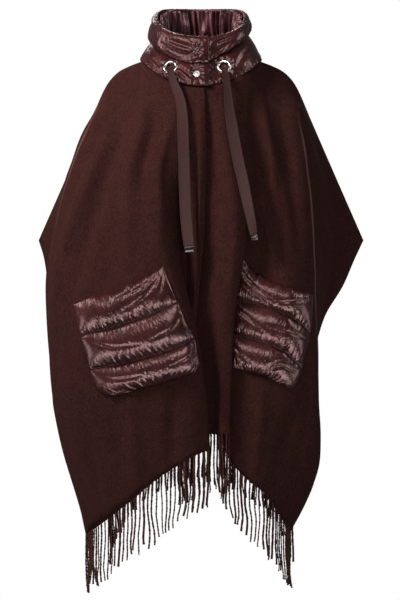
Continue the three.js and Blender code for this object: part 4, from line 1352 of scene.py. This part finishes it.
EYELET_LEFT = (-29.5, 0.27, 9.8)
EYELET_RIGHT = (-336, 0.33, 10.3)
SNAP_LOWER = (-4, 0.23, 9.8)
SNAP_COVERED = (-4, 0.365, 9.5)
SNAP_UPPER = (-4, 0.72, 14.8)
EYELET_RADIUS = 13.5
EYELET_HOLE = 8
EYELET_THICKNESS = 3
LOWER_CREASES_WIDER = 1.25
UPPER_CREASES_WIDER = 1.35
# Each fastening's seat, its radius and the radius of its hole.
lower_fastenings = [
    (EYELET_LEFT, EYELET_RADIUS, EYELET_HOLE), (EYELET_RIGHT, EYELET_RADIUS, EYELET_HOLE),
    (SNAP_LOWER, 6.2, 0), (SNAP_COVERED, 5, 0),
]
upper_fastenings = [(SNAP_UPPER, 4.5, 0)]
lower_creases = [
    ([(-6, 0.2), (-14, 0.5), (-24, 0.7)], 2.4, -2.6),
    ([(-12, 0.15), (-20, 0.35), (-30, 0.6)], 2.4, -2.2),
    ([(-36, 0.3), (-48, 0.45), (-60, 0.5)], 2.6, -2.6),
    ([(-40, 0.5), (-56, 0.66), (-74, 0.7)], 2.8, -2.2),
    ([(-44, 0.2), (-58, 0.24), (-76, 0.34)], 2.4, -2.0),
    ([(-326, 0.3), (-316, 0.45), (-304, 0.5)], 2.6, -2.6),
    ([(-322, 0.5), (-308, 0.62), (-290, 0.66)], 2.8, -2.2),
    ([(-346, 0.2), (-340, 0.45), (-334, 0.7)], 2.4, -2.4),
]
upper_creases = [
    ([(-4, 0.4), (-16, 0.3), (-30, 0.34), (-44, 0.42)], 3.2, -3.8),
    ([(-6, 0.55), (-18, 0.62), (-34, 0.66)], 3.0, -3.0),
    ([(-2, 0.7), (-12, 0.85)], 2.6, -2.4),
    ([(-8, 0.2), (-22, 0.16), (-40, 0.2)], 2.6, -2.4),
    ([(-350, 0.4), (-338, 0.36), (-324, 0.44)], 3.0, -3.4),
    ([(-346, 0.62), (-334, 0.7), (-320, 0.7)], 2.8, -2.8),
    ([(-352, 0.24), (-336, 0.2), (-318, 0.26)], 2.6, -2.4),
    ([(-60, 0.3), (-74, 0.42), (-88, 0.5)], 3.0, -2.8),
    ([(-70, 0.66), (-88, 0.7), (-108, 0.62)], 3.0, -2.4),
    ([(-300, 0.32), (-288, 0.44), (-274, 0.5)], 3.0, -2.8),
    ([(-290, 0.7), (-272, 0.66), (-254, 0.7)], 3.0, -2.4),
    ([(-150, 0.4), (-168, 0.5), (-190, 0.46)], 3.0, -2.2),
]
collar_low = collar_channel(
    "padded_collar_lower", "collar_lower", lower_channel, lower_outer, lower_inner,
    [(False, 4.8, (8, 22), 2.2), (True, 6.0, (5, 14), 1.0)],
    stronger(lower_creases, LOWER_CREASES_WIDER), lower_fastenings, 31)
collar_channel(
    "padded_collar_upper", "collar_upper", upper_channel, upper_outer, upper_inner,
    [(False, 5.4, (12, 30), 2.4), (True, 9.0, (14, 30), 0.8)],
    stronger(upper_creases, UPPER_CREASES_WIDER), upper_fastenings, 32)

# %% [markdown]
# ## Lining inside the neck
# The inside of the collar is plain nylon, gathered round the neck. The gathers are uneven, and the
# valleys between them get painted shade through the same attribute as the seams.

# %% Lining
LINING_START = -20
GATHERS = 23
LINING_GAP = 1
GATHER_DEPTH = 5.5
LINING_THICKNESS = 0.9
LINING_FOOT, LINING_TOP = 0.03, 0.95
LINING_ROWS = 26
COLUMNS_PER_GATHER = 18
VALLEY_EDGE = 0.45
PAINTED_VALLEY_SHADE = 0.85


def lining_gathers(degrees, heights):
    """How far the gathers stand out of the wall, from 0 in a valley to about 1."""
    rng = np.random.default_rng(41)
    turns = (degrees - LINING_START) / (FLAP_UNDER_END - LINING_START) * GATHERS
    wander = np.zeros_like(degrees)
    for wave in range(4):
        wander = wander + rng.uniform(0.1, 0.34) * np.sin(
            np.radians(degrees) * rng.integers(3, 19) + rng.uniform(0, 6))
    sway = 0.25 * np.sin(heights * 5 + turns * 0.9)
    fold = 0.5 + 0.5 * np.cos((turns + wander + sway) * 2 * np.pi)
    fine = 0.12 * np.cos((turns * 2.7 + sway) * 2 * np.pi)
    return np.clip(1.25 * fold**1.8 + fine, 0, 1.4)


lining_columns = GATHERS * COLUMNS_PER_GATHER + 1
lining_degrees = np.linspace(LINING_START, FLAP_UNDER_END, lining_columns)[None]
lining_heights = np.linspace(LINING_FOOT, LINING_TOP, LINING_ROWS)[:, None]
gathers = lining_gathers(lining_degrees, lining_heights)
lining_out = -LINING_GAP - GATHER_DEPTH * gathers
lining_outer = collar_point(lining_degrees, lining_heights, lining_out)
lining_inner = collar_point(lining_degrees, lining_heights, lining_out - LINING_THICKNESS)
neck_lining = wall("neck_lining", lining_outer * MM, lining_inner * MM, lining_nylon)
# Painted shade in the valleys between the gathers.
painted_valley_shade = PAINTED_VALLEY_SHADE * np.clip(1 - gathers / VALLEY_EDGE, 0, 1)
mark(neck_lining, "seam", painted_valley_shade, painted_valley_shade)
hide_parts("collar_lining")

# %% [markdown]
# ## Rings and snaps
# They are turned on a lathe: a profile spun round its axis, then set on the face of its
# channel. A pressed ring has a rolled edge, a snap has a dished cap with a raised rim. The
# middle snap is covered with the collar's nylon.

# %% Turned pieces
LIFT = 0.5
TURNED_SIDES = 64
RING_POINTS = 18


def turned(name, node, profile, seat, material, slot_name):
    place, normal = seat_on_collar(*seat)
    side = unit(np.cross(normal, np.array([0.0, 0.0, 1.0])))
    other = np.cross(normal, side)
    angle = np.linspace(0, 2 * np.pi, TURNED_SIDES, endpoint=False)
    spoke = np.cos(angle)[:, None] * side + np.sin(angle)[:, None] * other
    rings = np.array([place + spoke * r + normal * (h + LIFT) for r, h in profile])
    count = len(profile)
    at = np.arange(count * TURNED_SIDES).reshape(count, TURNED_SIDES)
    after = np.roll(at, -1, axis=1)
    pairs = [(k, (k + 1) % count) for k in range(count)]
    if profile[0][0] < 0.5:
        pairs = pairs[:-1]
    quads = [np.stack([at[a], after[a], after[b], at[b]], -1) for a, b in pairs]
    made = piece(name, rings * MM, np.concatenate(quads), material)
    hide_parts(node)


def rolled_ring(hole, radius, thickness):
    """Section of a ring with a rounded top and a flat foot."""
    middle, half = (hole + radius) / 2, (radius - hole) / 2
    crown = thickness - 0.5
    top = [
        (middle + half * np.cos(turn), 0.5 + crown * np.sin(turn) ** 0.8)
        for turn in np.linspace(0, np.pi, RING_POINTS)
    ]
    return [(radius, 0.0)] + top + [(hole, 0.0)]


snap_profile = [
    (0.01, 0.0), (6.0, 0.0), (6.2, 0.5), (6.15, 1.3), (5.8, 2.0), (5.2, 2.5), (4.5, 2.6),
    (4.1, 2.3), (3.6, 2.25), (2.6, 2.6), (1.4, 2.85), (0.01, 2.95),
]
covered_profile = [
    (0.01, 0.0), (4.8, 0.0), (5.0, 0.5), (4.9, 1.2), (4.4, 1.8), (3.8, 1.9), (3.3, 1.5),
    (2.6, 1.35), (1.4, 1.5), (0.01, 1.6),
]
small_snap_profile = [
    (0.01, 0.0), (4.3, 0.0), (4.5, 0.4), (4.4, 1.1), (3.9, 1.8), (3.3, 2.0), (2.8, 1.5),
    (2.2, 1.0), (1.4, 0.9), (0.01, 1.0),
]
ring_profile = rolled_ring(EYELET_HOLE, EYELET_RADIUS, EYELET_THICKNESS)
turned("ring_left", "eyelet_left", ring_profile, EYELET_LEFT, polished, "metal")
turned("ring_right", "eyelet_right", ring_profile, EYELET_RIGHT, polished, "metal")
turned("closing_snap_lower", "snap_lower", snap_profile, SNAP_LOWER, satin, "metal")
turned("closing_snap_covered", "snap_covered", covered_profile, SNAP_COVERED, nylon, "nylon")
turned(
    "closing_snap_upper", "snap_upper", small_snap_profile, SNAP_UPPER, dark_polished, "metal")

# %% [markdown]
# ## Fringe
# Cut wool strands hang from each hem. Geometry Nodes place them at even steps along the hem
# line, and bend them with noise that neighbours share, so that they bunch as yarn does.
# The tree ends in real geometry with the yarn's material.

# %% Fringe tree
STRAND_STEPS = 18
STRAND_SIDES = 6
STRAND_TWIST = 24.0
BUNCH_SCALE = 50.0
CURL_SCALE = 170.0
CURL_SHARE = 0.16


def fringe_tree():
    group = bpy.data.node_groups.new("fringe", "GeometryNodeTree")
    face = group.interface
    face.new_socket("Geometry", in_out="OUTPUT", socket_type="NodeSocketGeometry")
    face.new_socket("Geometry", in_out="INPUT", socket_type="NodeSocketGeometry")
    named = {}
    for name, kind in (
        ("Strands", "NodeSocketInt"), ("Length", "NodeSocketFloat"), ("Radius", "NodeSocketFloat"),
        ("Sway", "NodeSocketFloat"), ("Seed", "NodeSocketInt"), ("Yarn", "NodeSocketMaterial"),
    ):
        named[name] = face.new_socket(name, in_out="INPUT", socket_type=kind).identifier
    tree = Tree(group)
    entry = group.nodes.new("NodeGroupInput")
    given = {socket.name: Flow(tree, socket) for socket in entry.outputs if socket.name}
    line = tree.add("GeometryNodeMeshToCurve", {}, {"Mesh": given["Geometry"]})
    points = tree.add("GeometryNodeCurveToPoints", {"mode": "COUNT"},
                      {"Curve": line, "Count": given["Strands"]})
    strand = tree.add("GeometryNodeCurvePrimitiveLine", {}, {"End": (0, 0, -1)})
    strand = tree.add("GeometryNodeResampleCurve", {}, {"Curve": strand, "Count": STRAND_STEPS})
    uneven = tree.add("FunctionNodeRandomValue", {"data_type": "FLOAT"},
                      {2: 0.9, 3: 1.05, "Seed": given["Seed"]}, output=1)
    size = tree.add("ShaderNodeCombineXYZ", {},
                    {"X": 1.0, "Y": 1.0, "Z": uneven * given["Length"]})
    hung = tree.add("GeometryNodeInstanceOnPoints", {},
                    {"Points": points, "Instance": strand, "Scale": size})
    loose = tree.add("GeometryNodeRealizeInstances", {}, {"Geometry": hung})
    share = tree.add("GeometryNodeSplineParameter", output=0)
    place = tree.add("GeometryNodeInputPosition")

    def bend(scale, amount):
        long = tree.add("ShaderNodeVectorMath", {"operation": "MULTIPLY"},
                        {0: place, 1: (1.0, 1.0, 0.4)})
        noise = tree.add("ShaderNodeTexNoise", {"noise_dimensions": "4D"},
                         {"Vector": long, "W": given["Seed"] * 3.7, "Scale": scale,
                          "Detail": 0.0}, output=1)
        centred = tree.add("ShaderNodeVectorMath", {"operation": "SUBTRACT"},
                           {0: noise, 1: (0.5, 0.5, 0.5)})
        flat = tree.add("ShaderNodeVectorMath", {"operation": "MULTIPLY"},
                        {0: centred, 1: (1.0, 0.8, 0.0)})
        return tree.add("ShaderNodeVectorMath", {"operation": "SCALE"},
                        {0: flat, "Scale": share * given["Sway"] * amount})

    together = tree.add("ShaderNodeVectorMath", {"operation": "ADD"},
                        {0: bend(BUNCH_SCALE, 1.0), 1: bend(CURL_SCALE, CURL_SHARE)})
    swayed = tree.add("GeometryNodeSetPosition", {}, {"Geometry": loose, "Offset": together})
    owner = tree.add("GeometryNodeCurveOfPoint")
    thickness = tree.add("FunctionNodeRandomValue", {"data_type": "FLOAT"},
                         {2: 0.75, 3: 1.25, "ID": owner, "Seed": given["Seed"] + 5}, output=1)
    twisted = tree.add("GeometryNodeSetCurveTilt", {},
                       {"Curve": swayed, "Tilt": share * STRAND_TWIST})
    section = tree.add("GeometryNodeCurvePrimitiveCircle", {"mode": "RADIUS"},
                       {"Resolution": STRAND_SIDES, "Radius": 1.0})
    oval = tree.add("GeometryNodeTransform", {}, {"Geometry": section, "Scale": (1.0, 0.82, 1.0)})
    body = tree.add("GeometryNodeCurveToMesh", {},
                    {"Curve": twisted, "Profile Curve": oval, "Fill Caps": True,
                     "Scale": thickness * given["Radius"]})
    shaded = tree.add("GeometryNodeSetShadeSmooth", {}, {"Geometry": body})
    real = tree.add("GeometryNodeRealizeInstances", {}, {"Geometry": shaded})
    dressed = tree.add("GeometryNodeSetMaterial", {}, {"Geometry": real, "Material": given["Yarn"]})
    leave = group.nodes.new("NodeGroupOutput")
    tree.feed(leave.inputs[0], dressed)
    return group, named


fringe_group, fringe_inputs = fringe_tree()
print("fringe inputs", list(fringe_inputs))

# %% Fringe pieces
STRAND_ROOT = 1.2
STRAND_LENGTH = 0.106
STRAND_RADIUS = 0.002
STRAND_SWAY = 0.016


def fringe(name, node, hem, strands, seed):
    """Strands along a hem line, as one plain mesh."""
    line = hem + np.array([0, 0, STRAND_ROOT * MM])
    edges = [(k, k + 1) for k in range(len(line) - 1)]
    mesh = bpy.data.meshes.new(name + "_line")
    mesh.from_pydata(line.tolist(), edges, [])
    holder = placed(name + "_line", mesh)
    modifier = holder.modifiers.new("fringe", "NODES")
    modifier.node_group = fringe_group
    values = {"Strands": strands, "Length": STRAND_LENGTH, "Radius": STRAND_RADIUS,
              "Sway": STRAND_SWAY, "Seed": seed, "Yarn": yarn}
    for label, value in values.items():
        modifier[fringe_inputs[label]] = value
    solved = holder.evaluated_get(bpy.context.evaluated_depsgraph_get())
    real = bpy.data.meshes.new_from_object(solved)
    real.name = name
    bpy.data.objects.remove(holder)
    made = placed(name, real)
    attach(made, "root")
    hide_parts(node)
    print(name, len(real.polygons), "faces", len(real.materials), "materials")
    return made


strands_left = fringe("strands_left", "fringe_left", hem_left, 46, 3)
strands_right = fringe("strands_right", "fringe_right", hem_right, 40, 4)
strands_back = fringe("strands_back", "fringe_back", hem_back, 70, 5)

# %% [markdown]
# ## Panel sizes
# Each panel's widest and longest measure along the cloth is printed as the panel is made.

# %% Sizes
print("three wool panels")

# %% [markdown]
# ## Floor and light
# The floor is a pale disc below the fringe. It turns to a glowing white towards its rim, so that
# no edge shows against the room, which is white to the camera and dim to the cape. Cloth and
# gloss have lights of their own, as a studio has lamps and reflector boards: a small key from the
# upper left, a fill and a rear light shape the cloth, and the panels that only gloss sees draw
# the streaks on nylon and metal.

# %% Floor
FLOOR_HEIGHT = -1.15
FLOOR_RADIUS = 0.95
FLOOR_CLEAR = 0.4
FLOOR_RIM = 0.02
FLOOR_SIDES = 96
floor_turns = np.linspace(0, 2 * np.pi, FLOOR_SIDES, endpoint=False)
floor_ring = np.stack([np.cos(floor_turns), np.sin(floor_turns), 0 * floor_turns], 1)
floor_points = np.concatenate([
    [[0, 0, 0]], floor_ring * 0.5 * FLOOR_RADIUS, floor_ring * FLOOR_RADIUS,
])
floor_faces = []
for k in range(FLOOR_SIDES):
    here, after = 1 + k, 1 + (k + 1) % FLOOR_SIDES
    floor_faces += [(0, here, after), (here, here + FLOOR_SIDES, after + FLOOR_SIDES, after)]
floor_mesh = bpy.data.meshes.new("pale_floor")
floor_mesh.from_pydata((floor_points + [0, 0, FLOOR_HEIGHT]).tolist(), [], floor_faces)


def make_floor():
    finish = Finish("pale floor", Roughness=0.9, Specular_IOR_Level=0.1, Emission_Strength=1.0)
    level = finish.tree.add(
        "ShaderNodeVectorMath", {"operation": "MULTIPLY"}, {0: finish.place, 1: (1.0, 1.0, 0.0)})
    from_middle = finish.tree.add(
        "ShaderNodeVectorMath", {"operation": "LENGTH"}, {0: level}, output=1)
    outer_part = finish.spread(from_middle, FLOOR_CLEAR, FLOOR_RADIUS - FLOOR_RIM)
    return finish.feed(
        Base_Color=finish.blend(outer_part, linear(240, 240, 240), linear(0, 0, 0)),
        Emission_Color=finish.blend(outer_part, linear(0, 0, 0), linear(255, 255, 255)))


floor_mesh.materials.append(make_floor())
floor = placed("pale_floor", floor_mesh)
floor.visible_diffuse = False
floor.visible_glossy = False
print("floor", FLOOR_HEIGHT)

# %% Lights
ROOM_ON_CAPE = 0.12
ROOM_IN_VIEW = 1.0


def soft_light(name, place, size, power, aim=(0, 0, -0.45), lights="both"):
    light = placed(name, bpy.data.lights.new(name, "AREA"))
    light.data.shape = "RECTANGLE"
    light.data.size, light.data.size_y = size
    light.data.energy = power
    light.location = place
    light.rotation_euler = (Vector(aim) - Vector(place)).to_track_quat("-Z", "Y").to_euler()
    light.visible_camera = False
    light.visible_diffuse = lights != "gloss"
    light.visible_glossy = lights != "cloth"


soft_light("key", (-1.5, -0.95, 1.15), (0.6, 0.6), 58, aim=(-0.1, 0, 0.1), lights="cloth")
soft_light("fill", (0.5, -3.2, -0.5), (1.4, 1.4), 26, lights="cloth")
soft_light("rear", (0.5, 2.6, 0.9), (1.3, 1.3), 75, lights="cloth")
soft_light("rear_sheen", (-0.6, 2.4, 1.8), (2.0, 0.6), 24, lights="gloss")
soft_light("sheen", (-0.6, -2.4, 1.5), (2.4, 1.0), 46, lights="gloss")
soft_light("low", (-0.1, -1.0, -1.12), (2.4, 0.26), 20, aim=(-0.1, -0.6, -0.4), lights="gloss")
soft_light("low_left", (-1.4, -0.5, -0.7), (0.5, 0.5), 3, aim=(0, 0, 0), lights="gloss")
soft_light("low_right", (1.4, -0.5, -0.7), (0.5, 0.5), 2.5, aim=(0, 0, 0), lights="gloss")
soft_light("side_left", (-1.9, -0.45, 0.8), (0.5, 1.1), 16, aim=(0, 0, 0), lights="gloss")
soft_light("side_right", (1.9, -0.45, 0.7), (0.5, 1.1), 11, aim=(0, 0, 0), lights="gloss")

world = bpy.data.worlds.new("studio")
world.use_nodes = True
studio = Tree(world.node_tree)
for node in list(world.node_tree.nodes):
    world.node_tree.nodes.remove(node)
dim = studio.add("ShaderNodeBackground", {}, {"Color": (1, 1, 1, 1), "Strength": ROOM_ON_CAPE})
white = studio.add(
    "ShaderNodeBackground", {}, {"Color": (1, 1, 1, 1), "Strength": ROOM_IN_VIEW})
direct = studio.add("ShaderNodeLightPath")
air = studio.add("ShaderNodeMixShader", {}, {0: direct, 1: dim, 2: white})
studio.feed(world.node_tree.nodes.new("ShaderNodeOutputWorld").inputs["Surface"], air)
bpy.context.scene.world = world
bpy.context.scene.view_settings.view_transform = "Standard"
bpy.context.scene.view_settings.look = "None"
print("lights and room")
